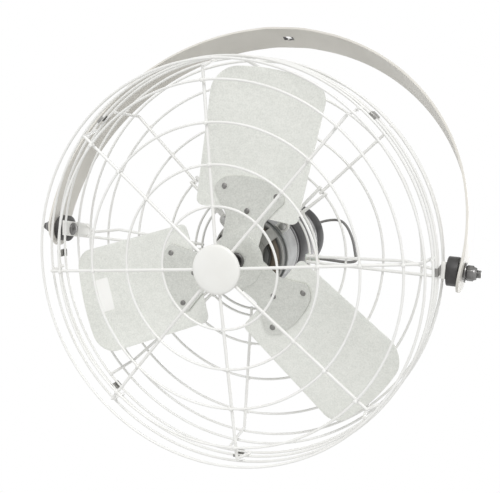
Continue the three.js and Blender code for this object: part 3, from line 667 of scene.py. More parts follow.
def block(size: Sequence[float], at: Sequence[float] = (0.0, 0.0, 0.0)) -> bmesh.types.BMesh:
    """A block of a size, about a middle."""
    bm = bmesh.new()
    bmesh.ops.create_cube(bm, size=1.0, matrix=Matrix.Translation(Vector(at)) @ Matrix.Diagonal((*size, 1.0)))
    return bm


def hexagon(corner: float, near: float, far: float) -> bmesh.types.BMesh:
    """A hexagonal prism along the Y axis.

    Args:
        corner: Its radius over the corners.
        near: Depth of its front face.
        far: Depth of its rear face.

    Returns:
        A new mesh.
    """
    bm = bmesh.new()
    upright = Matrix.Translation((0, (near + far) / 2, 0)) @ Matrix.Rotation(-math.pi / 2, 4, "X")
    bmesh.ops.create_cone(bm, cap_ends=True, segments=6, radius1=corner, radius2=corner,
                          depth=far - near, matrix=upright)
    return bm


def joined(parts: Iterable[bmesh.types.BMesh]) -> bmesh.types.BMesh:
    """Puts several meshes into one new mesh and frees them."""
    whole = bmesh.new()
    for part in parts:
        shell = bpy.data.meshes.new("part")
        part.to_mesh(shell)
        part.free()
        whole.from_mesh(shell)
        bpy.data.meshes.remove(shell)
    return whole


def moved(bm: bmesh.types.BMesh, place: Matrix) -> bmesh.types.BMesh:
    """Moves a whole mesh and returns it."""
    bmesh.ops.transform(bm, matrix=place, verts=bm.verts)
    return bm


def cut_out(bm: bmesh.types.BMesh, tools: Iterable[bmesh.types.BMesh]) -> bmesh.types.BMesh:
    """Cuts tools out of a closed mesh.

    Args:
        bm: The mesh that is cut.
        tools: Closed meshes, which are freed.

    Returns:
        A new mesh.
    """
    shells = []
    for part in (bm, joined(tools)):
        shell = bpy.data.meshes.new("shell")
        merged(part).to_mesh(shell)
        part.free()
        item = bpy.data.objects.new("shell", shell)
        bpy.context.scene.collection.objects.link(item)
        shells.append(item)
    body, tool = shells
    cutter = body.modifiers.new("cut", "BOOLEAN")
    cutter.operation = "DIFFERENCE"
    cutter.solver = "EXACT"
    cutter.object = tool
    done = bpy.data.meshes.new_from_object(body.evaluated_get(bpy.context.evaluated_depsgraph_get()))
    result = bmesh.new()
    result.from_mesh(done)
    for item in shells:
        old = item.data
        bpy.data.objects.remove(item)
        bpy.data.meshes.remove(old)
    bpy.data.meshes.remove(done)
    return merged(result)


@dataclass
class Maker:
    """Turns meshes into finished pieces that ride on one body."""

    body: Body
    place: Matrix
    made: list[str] = field(default_factory=list)

    def piece(self, bm: bmesh.types.BMesh, name: str, look: Finish,
              stands_for: Sequence[str] = (), smooth: float = 38.0,
              others: Sequence[Finish] = ()) -> bpy.types.Object:
        """Makes a piece from a mesh in millimetres.

        Args:
            bm: The mesh, which is freed.
            name: Name of the piece.
            look: Its finish.
            stands_for: The model's nodes that it replaces.
            smooth: Edges sharper than this angle stay sharp.
            others: Finishes of the faces whose material number is 1 or more.

        Returns:
            The piece's object.
        """
        merged(bm)
        bmesh.ops.transform(bm, matrix=self.place, verts=bm.verts)
        mesh = bpy.data.meshes.new(name)
        bm.to_mesh(mesh)
        bm.free()
        for finish in (look, *others):
            mesh.materials.append(finish.material())
        mesh.shade_smooth()
        mesh.set_sharp_from_angle(angle=math.radians(smooth))
        item = bpy.data.objects.new(name, mesh)
        bpy.context.scene.collection.objects.link(item)
        return self.settle(item, stands_for)

    def settle(self, item: bpy.types.Object, stands_for: Sequence[str] = ()) -> bpy.types.Object:
        """Lets a finished piece ride on the body, in the place of the model's nodes."""
        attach(item, self.body.value)
        if stands_for:
            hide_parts(*stands_for)
        self.made.append(item.name)
        return item


def dress(nodes: Iterable[str], look: Finish) -> None:
    """Gives the model's own nodes a finish."""
    for name in nodes:
        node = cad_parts[name]
        if not node.material_slots:
            node.data.materials.append(look.material())
        for socket in node.material_slots:
            socket.material = look.material()


# ------------------------------------------------------------------------- studio


@dataclass
class Studio:
    """Camera at the photograph's angle, soft lamps, white surroundings, pale floor."""

    eye: tuple[float, float, float] = (0.42562, -1.06251, -0.60921)
    right: tuple[float, float, float] = (0.929723, 0.308083, 0.201744)
    up: tuple[float, float, float] = (-0.103220, -0.307859, 0.945816)
    forward: tuple[float, float, float] = (-0.353499, 0.900171, 0.254423)
    lens: float = 65.073
    sensor: float = 36.0
    lamp_distance: float = 3.0
    floor_level: float = -0.95
    floor_size: float = 40.0
    fade_reach: tuple[float, float] = (0.6, 3.2)
    fade_white: tuple[float, float] = (0.72, 1.0)
    world_strength: float = 0.56
    world_in_gloss: float = 0.9

    def build(self) -> None:
        """Makes the camera, the lamps, the world and the floor."""
        self.camera()
        self.lamp("key", (0.26, -0.84, 0.46), softness=26.0, strength=1.5)
        self.lamp("back", (0.10, 0.93, 0.35), softness=34.0, strength=0.6)
        self.world()
        self.floor()
        bpy.context.scene.view_settings.view_transform = "Standard"

    def camera(self) -> None:
        """Makes the camera from its measured axes."""
        data = bpy.data.cameras.new("camera")
        data.sensor_fit = "HORIZONTAL"
        data.sensor_width = self.sensor
        data.lens = self.lens
        data.clip_start = 0.02
        item = bpy.data.objects.new("camera", data)
        columns = [Vector(self.right), Vector(self.up), -Vector(self.forward)]
        turn = Matrix([[axis[row] for axis in columns] for row in range(3)]).to_4x4()
        item.matrix_world = Matrix.Translation(Vector(self.eye)) @ turn
        bpy.context.scene.collection.objects.link(item)
        bpy.context.scene.camera = item

    def lamp(self, name: str, side: Sequence[float], softness: float, strength: float) -> None:
        """Adds a far, soft lamp that shines from one side.

        Args:
            name: The lamp's name.
            side: The direction from the fan to the lamp.
            softness: The lamp's width as an angle, in degrees.
            strength: The light that it gives a surface that faces it.
        """
        data = bpy.data.lights.new(name, "SUN")
        data.angle = math.radians(softness)
        data.energy = strength
        item = bpy.data.objects.new(name, data)
        item.location = Vector(side) * self.lamp_distance
        item.rotation_euler = (-Vector(side)).to_track_quat("-Z", "Y").to_euler()
        bpy.context.scene.collection.objects.link(item)

    def world(self) -> None:
        """White where it is seen directly or in metal, softer as a light."""
        world = bpy.data.worlds.new("surroundings")
        world.use_nodes = True
        bpy.context.scene.world = world
        tree = world.node_tree
        back = tree.nodes["Background"]
        back.inputs["Color"].default_value = WHITE
        rays = tree.nodes.new("ShaderNodeLightPath").outputs
        seen = math_node(tree, "MAXIMUM", rays["Is Camera Ray"], rays["Is Transmission Ray"])
        glossy = math_node(tree, "MULTIPLY", rays["Is Glossy Ray"], self.world_in_gloss)
        both = math_node(tree, "MAXIMUM", seen, glossy)
        strength = math_node(tree, "MULTIPLY_ADD", both, 1.0 - self.world_strength, self.world_strength)
        tree.links.new(strength, back.inputs["Strength"])

    def floor(self) -> None:
        """A pale floor well below the fan."""
        bm = bmesh.new()
        place = Matrix.Translation((0.0, 0.0, self.floor_level))
        bmesh.ops.create_grid(bm, x_segments=1, y_segments=1, size=self.floor_size / 2, matrix=place)
        mesh = bpy.data.meshes.new("floor")
        bm.to_mesh(mesh)
        bm.free()
        mesh.materials.append(self.floor_paint())
        item = bpy.data.objects.new("floor", mesh)
        bpy.context.scene.collection.objects.link(item)
        item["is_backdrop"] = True

    def floor_paint(self) -> bpy.types.Material:
        """Pale paint that turns white further off, and is clear where it is seen from below."""
        surface = Surface("floor_paint")
        tree = surface.tree
        patches = surface.group("patches", "Mask", Scale=1.5, Amount=0.3)
        surface.feed("Base Color", surface.mix(patches, (240, 240, 239), (234, 234, 233)))
        surface.plain(Roughness=0.9, Specular_IOR_Level=0.2)
        rays = tree.nodes.new("ShaderNodeLightPath").outputs
        seen = math_node(tree, "MAXIMUM", rays["Is Camera Ray"], rays["Is Glossy Ray"])
        through = math_node(tree, "MAXIMUM", seen, rays["Is Transmission Ray"])
        glow = tree.nodes.new("ShaderNodeEmission")
        glow.inputs["Color"].default_value = WHITE
        white = math_node(tree, "MULTIPLY", through, self.floor_fade(surface))
        pale = surface.cover(white, surface.shader, glow)
        below = tree.nodes.new("ShaderNodeNewGeometry").outputs["Backfacing"]
        clear = tree.nodes.new("ShaderNodeBsdfTransparent")
        hidden = math_node(tree, "MULTIPLY", below, rays["Is Camera Ray"])
        whole = surface.cover(hidden, pale, clear)
        tree.links.new(whole.outputs[0], tree.nodes["Material Output"].inputs["Surface"])
        return surface.material

    def floor_fade(self, surface: Surface) -> bpy.types.NodeSocket:
        """How white the floor looks, which grows with the distance from its middle."""
        far = surface.tree.nodes.new("ShaderNodeVectorMath")
        far.operation = "LENGTH"
        surface.tree.links.new(surface.place, far.inputs[0])
        fade = surface.tree.nodes.new("ShaderNodeMapRange")
        labels = ("From Min", "From Max", "To Min", "To Max")
        for label, value in zip(labels, (*self.fade_reach, *self.fade_white)):
            fade.inputs[label].default_value = value
        surface.tree.links.new(far.outputs["Value"], fade.inputs["Value"])
        return fade.outputs[0]


# --------------------------------------------------------------------- motor lead


@dataclass
class MotorLead:
    """The lead from the end cap to a white connector behind the rear guard."""

    wire: float = 4.0
    length: float = 0.3
    gland_at: tuple[float, float, float] = (26.0, 293.5, 15.0)
    gland_length: float = 20.0
    gland_foot: float = 8.4
    gland_tip: float = 3.0
    gland_rings: int = 4
    ring_pitch: float = 3.6
    ring_radius: float = 6.4
    ring_taper: float = 0.62
    groove: float = 0.9
    connector_size: tuple[float, float, float] = (18.0, 11.0, 10.0)
    connector_at: tuple[float, float, float] = (80.0, 134.25, 0.0)
    route: tuple[tuple[float, float, float], ...] = (
        (26, 313.8, 15), (26.6, 321, 15.8), (30.5, 330, 17.8), (38, 336, 20), (47.5, 337.3, 21.8),
        (57, 333.5, 22.6), (65, 325, 22.4), (74, 310, 21.2), (84, 291, 18.4), (94, 269, 14.8),
        (104, 245, 10.6), (113.5, 219, 6), (122, 194, 1.8), (129, 172, -1), (132.6, 158, -1.9),
        (130.5, 146, -1.8), (122.5, 137.6, -1.2), (111, 134.6, -0.4), (99, 134.6, 0), (89.6, 134.6, 0),
    )

    def build(self, maker: Maker) -> None:
        """Makes the gland, the connector and the lead between them."""
        self.gland(maker)
        connector = self.connector(maker)
        data = bpy.data.curves.new("motor_lead", "CURVE")
        data.dimensions = "3D"
        data.resolution_u = 8
        data.bevel_depth = self.wire / 2 * MM
        data.bevel_resolution = 5
        data.use_fill_caps = True
        spline = data.splines.new("BEZIER")
        spline.bezier_points.add(len(self.route) - 1)
        for point, at in zip(spline.bezier_points, self.route):
            point.co = FRAMES.point(at)
            point.handle_left_type = point.handle_right_type = "AUTO"
        lead = bpy.data.objects.new("motor_lead", data)
        data.materials.append(SHEATH.material())
        bpy.context.scene.collection.objects.link(lead)
        maker.settle(lead, ["motor_cord"])

    def gland(self, maker: Maker) -> None:
        """A flexible gland with rings, tapered to the lead."""
        profile = [(0.0, 0.0), (self.gland_foot, 0.0), (self.gland_foot, 3.0), (6.6, 3.6)]
        for i in range(self.gland_rings):
            at = 5.0 + i * self.ring_pitch
            wide = self.ring_radius - i * self.ring_taper
            narrow = wide - self.groove
            profile += [(wide, at), (wide, at + 1.9), (narrow, at + 2.2), (narrow, at + 3.3)]
        profile += [(self.gland_tip, self.gland_length), (0.0, self.gland_length)]
        bm = moved(soften(revolve(profile, 40), 0.25), Matrix.Translation(self.gland_at))
        maker.piece(bm, "lead_gland", SPACER, ["cord_gland"])

    def connector(self, maker: Maker) -> bpy.types.Object:
        """A moulded shell with a ridge round its middle and a lip at each end."""
        wide, deep, high = self.connector_size
        lip_wide = 1.8
        shell = soften(block((wide - 1.6, deep - 1.4, high - 1.4)), 1.4, segments=3)
        ridge = soften(block((wide * 0.22, deep, high)), 0.8)
        lips = []
        for end in Side:
            at = -end.value * (wide / 2 - lip_wide / 2)
            lips.append(soften(block((lip_wide, deep - 0.6, high - 0.6), (at, 0, 0)), 0.6))
        bm = moved(joined([shell, ridge, *lips]), Matrix.Translation(self.connector_at))
        return maker.piece(bm, "lead_connector", NYLON, ["cord_connector"])


# --------------------------------------------------------------------------- yoke


@dataclass
class Yoke:
    """The bow of flat strap that carries the head."""

    radius: float = 284.3
    thick: float = 3.0
    width: float = 50.8
    rise: float = 26.0
    pivot_level: float = -311.8
    flat: float = 8.0
    flat_run_out: float = 37.0
    flat_depth: float = 8.0
    hole: float = 10.5
    # Margin round the hole inside which the wall takes dark steel: partly bare steel, partly painted shade.
    bare_and_shaded_margin: float = 0.3
    steps: int = 168
    steps_across: int = 12
    steps_at_ends: float = 1.25

    def build(self, maker: Maker) -> None:
        """Bends the strap from a flat grid, cuts its hole and rounds its edges."""
        bm = bmesh.new()
        bmesh.ops.create_grid(bm, x_segments=self.steps, y_segments=self.steps_across, size=1.0)
        for vert in bm.verts:
            vert.co = self.bent(vert.co.x, vert.co.y)
        bmesh.ops.remove_doubles(bm, verts=bm.verts, dist=1e-3)
        bmesh.ops.recalc_face_normals(bm, faces=bm.faces)
        if max(bm.faces, key=lambda f: f.calc_center_median().z).normal.z < 0:
            bmesh.ops.reverse_faces(bm, faces=bm.faces)
        bmesh.ops.solidify(bm, geom=bm.faces, thickness=self.thick)
        hole = self.hole / 2
        tool = bmesh.new()
        bmesh.ops.create_cone(tool, cap_ends=True, segments=48, radius1=hole, radius2=hole,
                              depth=self.thick * 4)
        bm = soften(cut_out(bm, [tool]), 0.5, 50.0, 3)
        # The faces of the hole's wall take dark oiled steel: partly the bare steel of the cut, partly painted
        # shade inside the hole.
        for face in bm.faces:
            middle = face.calc_center_median()
            if math.hypot(middle.x, middle.y) < hole + self.bare_and_shaded_margin and middle.z > -2 * self.thick:
                face.material_index = 1
        # The strap takes the darker yoke paint, which is painted shade.
        maker.piece(bm, "yoke_strap", SHADED_YOKE_PAINT, ["yoke"], others=[DARK_STEEL])

    def bent(self, along: float, across: float) -> Vector:
        """Where a point of the flat strap goes on the outer face of the bow.

        Args:
            along: From -1 at the left end to 1 at the right end.
            across: From -1 to 1 over the width.

        Returns:
            The point, in millimetres.
        """
        outer = self.radius + self.thick / 2
        half = self.width / 2
        wrap = math.asin((self.rise + half) / outer)
        full = math.pi / 2 + wrap
        eased = math.copysign(1.0 - (1.0 - abs(along)) ** self.steps_at_ends, along)
        angle = eased * full
        x = outer * math.sin(angle)
        z = self.pivot_level + self.rise + outer * math.cos(angle)
        below = max(self.pivot_level - z, 0.0) / half
        wide = half * math.sqrt(max(1.0 - below * below, 0.0))
        if z > -self.flat_depth:
            z *= smooth_step(min(max((abs(x) - self.flat) / self.flat_run_out, 0.0), 1.0))
        return Vector((x, across * wide, z))


@dataclass
class PivotSet:
    """Plate, bolt, spacer, washer and nut at one side of the head."""

    side: Side
    plate_inside: float = 259.75
    plate_thick: float = 5.0
    plate_height: float = 21.0
    plate_from: float = 66.0
    plate_to: float = 138.0
    plate_fall: float = 11.0 / 53.0
    spacer_span: tuple[float, float] = (265.05, 279.06)
    spacer_radius: float = 18.0
    bore: float = 5.2
    washer_in: float = 285.76
    washer_radius: float = 12.0
    washer_thick: float = 2.0
    nut_in: float = 288.06
    nut_flats: float = 17.0
    nut_high: float = 8.0
    collar_bore: float = 5.3
    bolt: float = 5.0
    bolt_head: float = 9.0
    thread_root: float = 4.55
    thread_pitch: float = 1.25
    thread_span: tuple[float, float] = (9.0, 17.0)

    @property
    def label(self) -> str:
        """The side's name."""
        return self.side.name.lower()

    def build(self, maker: Maker) -> None:
        """Makes the five pieces of this side."""
        self.plate(maker)
        self.spacer(maker)
        self.washer(maker)
        self.lock_nut(maker)
        self.screw(maker)

    def lay(self, bm: bmesh.types.BMesh) -> bmesh.types.BMesh:
        """Lays a mesh made along +Y out along the pivot axis."""
        return moved(bm, FRAMES.along_pivot(self.side))

    def plate(self, maker: Maker) -> None:
        """The sloping bar that is welded to the cage's side."""
        length = self.plate_to - self.plate_from
        middle = (self.plate_to + self.plate_from) / 2
        bm = block((self.plate_thick, length, self.plate_height))
        shear = Matrix.Identity(4)
        shear[2][1] = -self.plate_fall
        moved(bm, shear)
        _, pivot_depth, pivot_height = FRAMES.pivot_in_head
        level = pivot_height - self.plate_fall * (middle - pivot_depth)
        across = self.side.value * (self.plate_inside + self.plate_thick / 2)
        moved(bm, Matrix.Translation((across, middle, level)))
        maker.piece(soften(bm, 0.7, segments=3), f"side_plate_{self.label}", GUARD_PAINT,
                    [f"pivot_plate_{self.label}"])

    def spacer(self, maker: Maker) -> None:
        """A thick rubber spacer with rounded rims."""
        near, far = self.spacer_span
        wide = self.spacer_radius
        profile = [(self.bore, near), (wide, near), (wide, far), (self.bore, far)]
        bm = soften(revolve(profile, 72), 1.2, segments=4)
        maker.piece(self.lay(bm), f"rubber_spacer_{self.label}", SPACER,
                    [f"pivot_spacer_{self.label}"])

    def steel(self, maker: Maker, bm: bmesh.types.BMesh, name: str, node: str) -> None:
        """Makes a plated piece of this side from a mesh along +Y.

        Args:
            maker: The maker of the head's pieces.
            bm: The mesh, which is freed.
            name: Name of the piece, without its side.
            node: The model's node that it replaces, without its side.
        """
        maker.piece(self.lay(bm), f"{name}_{self.label}", PIVOT_STEEL, [f"{node}_{self.label}"])

    def washer(self, maker: Maker) -> None:
        """The flat washer on the strap's outer face."""
        near, far = self.washer_in, self.washer_in + self.washer_thick
        wide = self.washer_radius
        profile = [(self.bore, near), (wide, near), (wide, far), (self.bore, far)]
        self.steel(maker, soften(revolve(profile, 56), 0.35), "flat_washer", "pivot_washer")

    def lock_nut(self, maker: Maker) -> None:
        """A hexagon nut with a round collar that grips the thread."""
        near, hole = self.nut_in, self.collar_bore
        corner = self.nut_flats / 2 / math.cos(math.pi / 6)
        nut = soften(hexagon(corner, near, near + self.nut_high), 0.7, 30.0)
        profile = [(hole, near + 7.0), (8.3, near + 7.0), (8.3, near + 8.4), (7.9, near + 9.6),
                   (6.8, near + 12.0), (hole, near + 12.0)]
        collar = soften(revolve(profile, 48), 0.3)
        self.steel(maker, joined([nut, collar]), "lock_nut", "pivot_nut")

    def screw(self, maker: Maker) -> None:
        """The bolt: a domed head behind the plate, and a thread that shows past the nut."""
        head, wide = self.plate_inside - 0.3, self.bolt_head
        at, tail = (self.nut_in + past for past in self.thread_span)
        profile = [(0.0, head - 4.5), (3.2, head - 4.35), (6.0, head - 3.6), (8.2, head - 2.1),
                   (wide, head - 0.8), (wide, head), (self.bolt, head), (self.bolt, at)]
        pitch, root = self.thread_pitch, self.thread_root
        while at + pitch < tail - 1.0:
            profile += [(root, at + pitch * 0.35), (root, at + pitch * 0.6), (self.bolt, at + pitch)]
            at += pitch
        profile += [(4.2, tail), (0.0, tail)]
        self.steel(maker, revolve(profile, 40), "pivot_screw", "pivot_bolt")


# ------------------------------------------------------------------------- guards


@dataclass
class Guard:
    """What both wire guards share: their wires, bends and welds."""

    side_radius: float = 255.0
    bend: float = 10.0
    spoke_wire: float = 4.0
    ring_wire: float = 3.2
    lap: float = 2.85
    weld_half: float = 2.7
    weld_rise: float = 1.15
    spokes: int = 8
    sides: int = 12
    ring_steps: int = 128
    rim_steps: int = 160

    def rim(self, bm: bmesh.types.BMesh, corner: tuple[float, float], depths: Sequence[float]) -> None:
        """Adds the ring in the spokes' bend and the rings round the side.

        Args:
            bm: The guard's mesh.
            corner: Radius and depth of the ring in the bend.
            depths: Depths of the side's rings.
        """
        hoop(bm, *corner, self.ring_wire, self.sides, self.rim_steps)
        for depth in depths:
            hoop(bm, self.side_radius + self.lap, depth, self.ring_wire, self.sides, self.rim_steps)

    def spoke(self, bm: bmesh.types.BMesh, inner: float, face: float, end: float, angle: float) -> None:
        """Adds a spoke: along the face, round the rim, then along the side."""
        corners = [(inner, face), (self.side_radius, face), (self.side_radius, end)]
        path = rounded([Vector((radius, depth, 0)) for radius, depth in corners], self.bend, 9)
        made = sweep(bm, path, self.spoke_wire, self.sides)
        bmesh.ops.transform(bm, matrix=turned(angle), verts=made)

    def nugget(self, bm: bmesh.types.BMesh, at: Sequence[float], angle: float, size: Sequence[float]) -> None:
        """Adds a bead of metal of a half size at a place beside the spoke at an angle."""
        place = turned(angle) @ Matrix.Translation(at) @ Matrix.Diagonal((*size, 1.0))
        bmesh.ops.create_icosphere(bm, subdivisions=2, radius=1.0, matrix=place)

    def weld(
        self, bm: bmesh.types.BMesh, radius: float, depth: float, angle: float, aside: float = 0.0
    ) -> None:
        """Adds the squeezed metal where a face ring crosses a wire."""
        size = (self.weld_half, self.weld_rise, self.weld_half)
        self.nugget(bm, (radius, depth, aside), angle, size)

    def side_weld(self, bm: bmesh.types.BMesh, depth: float, angle: float) -> None:
        """Adds the squeezed metal where a side ring crosses a spoke."""
        size = (self.weld_rise, self.weld_half, self.weld_half)
        self.nugget(bm, (self.side_radius + self.lap / 2, depth, 0), angle, size)


@dataclass
class FrontGuard(Guard):
    """Eight spokes from a small eye ring, face rings, rim rings and the blank disc."""

    turn: float = 7.5
    eye: float = 22.0
    rings: tuple[float, ...] = (77.0, 127.8, 178.6, 229.4)
    corner_ring: tuple[float, float] = (254.09, 0.914)
    side_rings: tuple[float, float] = (30.0, 48.0)
    side_end: float = 50.0
    disc_radius: float = 31.25
    disc_proud: float = 9.0
    disc_sheet: float = 1.2
    eye_steps: int = 48

    def build(self, maker: Maker) -> None:
        """Makes the welded guard and its disc."""
        bm = bmesh.new()
        hoop(bm, self.eye, self.lap, self.ring_wire, self.sides, self.eye_steps)
        for radius in self.rings:
            hoop(bm, radius, self.lap, self.ring_wire, self.sides, self.ring_steps)
        self.rim(bm, self.corner_ring, self.side_rings)
        for i in range(self.spokes):
            angle = 360.0 / self.spokes * i
            self.spoke(bm, self.eye - self.ring_wire, 0.0, self.side_end, angle)
            for radius in self.rings:
                self.weld(bm, radius, self.lap / 2, angle)
            for depth in self.side_rings:
                self.side_weld(bm, depth, angle)
        bm = moved(bm, turned(self.turn))
        maker.piece(bm, "front_wire_guard", WIRE_PAINT, ["front_guard"])
        self.disc(maker)

    def disc(self, maker: Maker) -> None:
        """The pressed blank disc in the middle."""
        rim, front = self.disc_radius, -self.disc_proud
        rear, inside = -2.3, rim - self.disc_sheet
        profile = [(0.0, front)]
        profile += [(rim * s, front + 3.1 * s ** 3.2) for s in (0.2, 0.4, 0.55, 0.7, 0.8, 0.88, 0.94)]
        profile += [(rim * 0.985, front + 3.5), (rim, front + 4.5), (rim, rear), (inside, rear),
                    (inside, front + 4.8), (rim * 0.9, front + 4.0), (rim * 0.6, front + 2.2),
                    (0.0, front + self.disc_sheet)]
        maker.piece(revolve(profile, 96), "blank_disc", GUARD_PAINT, ["center_disc"], 50.0)


@dataclass
class RearGuard(Guard):
    """Spokes, hairpins round the motor's bolts, rings, and rods to the side plates."""

    face: float = 124.0
    motor_ring: float = 88.0
    rings: tuple[float, ...] = (78.0, 127.5, 177.0, 226.5)
    corner_ring: tuple[float, float] = (254.09, 123.09)
    side_rings: tuple[float, float] = (96.5, 62.0)
    side_end: float = 60.0
    spoke_start: float = 74.8
    short_start: float = 124.3
    hairpin_wire: float = 4.5
    hairpin_half: float = 5.6
    hairpin_out: float = 131.5
    hairpin_weld_lift: float = 0.2
    ear_radius: float = 59.0
    brace_half: float = 3.6
    brace_rise: float = 12.0
    brace_ramp: tuple[float, float] = (52.0, 12.0)
    brace_bend: float = 9.0
    brace_stop: float = 259.45

    def build(self, maker: Maker) -> None:
        """Makes the welded guard."""
        bm = bmesh.new()
        for radius in (self.motor_ring, *self.rings):
            hoop(bm, radius, self.face + self.lap, self.ring_wire, self.sides, self.ring_steps)
        self.rim(bm, self.corner_ring, self.side_rings)
        for i in range(self.spokes):
            angle = 360.0 / self.spokes * i
            if i % 4 == 0:
                self.brace(bm, angle, 1.0 if i == 0 else -1.0)
                continue
            start, rings = self.spoke_start, self.rings
            if i % 2:
                start, rings = self.short_start, self.rings[1:]
            self.spoke(bm, start, self.face, self.side_end, angle)
            if i % 2:
                self.hairpin(bm, angle)
            for radius in rings:
                self.weld(bm, radius, self.face + self.lap / 2, angle)
            for depth in self.side_rings:
                self.side_weld(bm, depth, angle)
        maker.piece(bm, "rear_wire_guard", WIRE_PAINT, ["rear_guard"])

    def hairpin(self, bm: bmesh.types.BMesh, angle: float) -> None:
        """A bent wire whose closed end is the eye of a motor bolt."""
        half, near = self.hairpin_half, self.ear_radius - self.hairpin_half
        line = [(self.hairpin_out, half), (near, half), (near, -half), (self.hairpin_out, -half)]
        path = rounded([Vector((x, self.face, z)) for x, z in line], half, 9)
        made = sweep(bm, path, self.hairpin_wire, self.sides)
        bmesh.ops.transform(bm, matrix=turned(angle), verts=made)
        for radius in (self.rings[0], self.motor_ring, self.rings[1]):
            for aside in (half, -half):
                self.weld(bm, radius, self.face + self.lap / 2 + self.hairpin_weld_lift, angle, aside)

    def brace(self, bm: bmesh.types.BMesh, angle: float, up: float) -> None:
        """Two rods from the motor's rings to a side plate, one of which rises at its end."""
        start, stop, low, high = self.spoke_start, self.brace_stop, self.brace_half, self.brace_rise
        foot, top = (stop - before for before in self.brace_ramp)
        upper = [(start, low), (foot, low), (top, high), (stop, high)]
        lower = [(start, -low), (stop, -low)]
        for line in (upper, lower):
            points = [Vector((x, self.face, up * z)) for x, z in line]
            path = rounded(points, self.brace_bend, 5) if len(points) > 2 else points
            made = sweep(bm, path, self.spoke_wire, self.sides)
            bmesh.ops.transform(bm, matrix=turned(angle), verts=made)


@dataclass
class GuardClips:
    """Spring clips that hook the front guard's last ring to the rear guard's."""

    count: int = 8
    first: float = 3.75
    width: float = 10.0
    sheet: float = 1.2
    bend: float = 1.0
    span: tuple[float, float] = (46.1, 63.9)
    inside: float = 259.75
    hook: float = 256.25

    def build(self, maker: Maker) -> None:
        """Makes the clips, each one sheet bent twice."""
        mid = self.sheet / 2
        near, far, out = self.span[0] - mid, self.span[1] + mid, self.inside + mid
        line = [(self.hook, near), (out, near), (out, far), (self.hook, far)]
        path = rounded([Vector((radius, depth, 0)) for radius, depth in line], self.bend, 4)
        for i in range(self.count):
            bm = bmesh.new()
            start = [bm.verts.new(p + Vector((0, 0, -self.width / 2))) for p in path]
            edges = [bm.edges.new(pair) for pair in zip(start, start[1:])]
            grown = bmesh.ops.extrude_edge_only(bm, edges=edges)["geom"]
            lifted = [g for g in grown if isinstance(g, bmesh.types.BMVert)]
            bmesh.ops.translate(bm, vec=(0, 0, self.width), verts=lifted)
            bmesh.ops.recalc_face_normals(bm, faces=bm.faces)
            bmesh.ops.solidify(bm, geom=bm.faces, thickness=mid)
            bmesh.ops.recalc_face_normals(bm, faces=bm.faces)
            moved(soften(bm, 0.15, 60.0, 2), turned(self.first + 360.0 * i / self.count))
            maker.piece(bm, f"rim_clip_{i + 1}", CLIP_STEEL, [f"guard_clip_{i + 1}"])


# -------------------------------------------------------------------------- motor


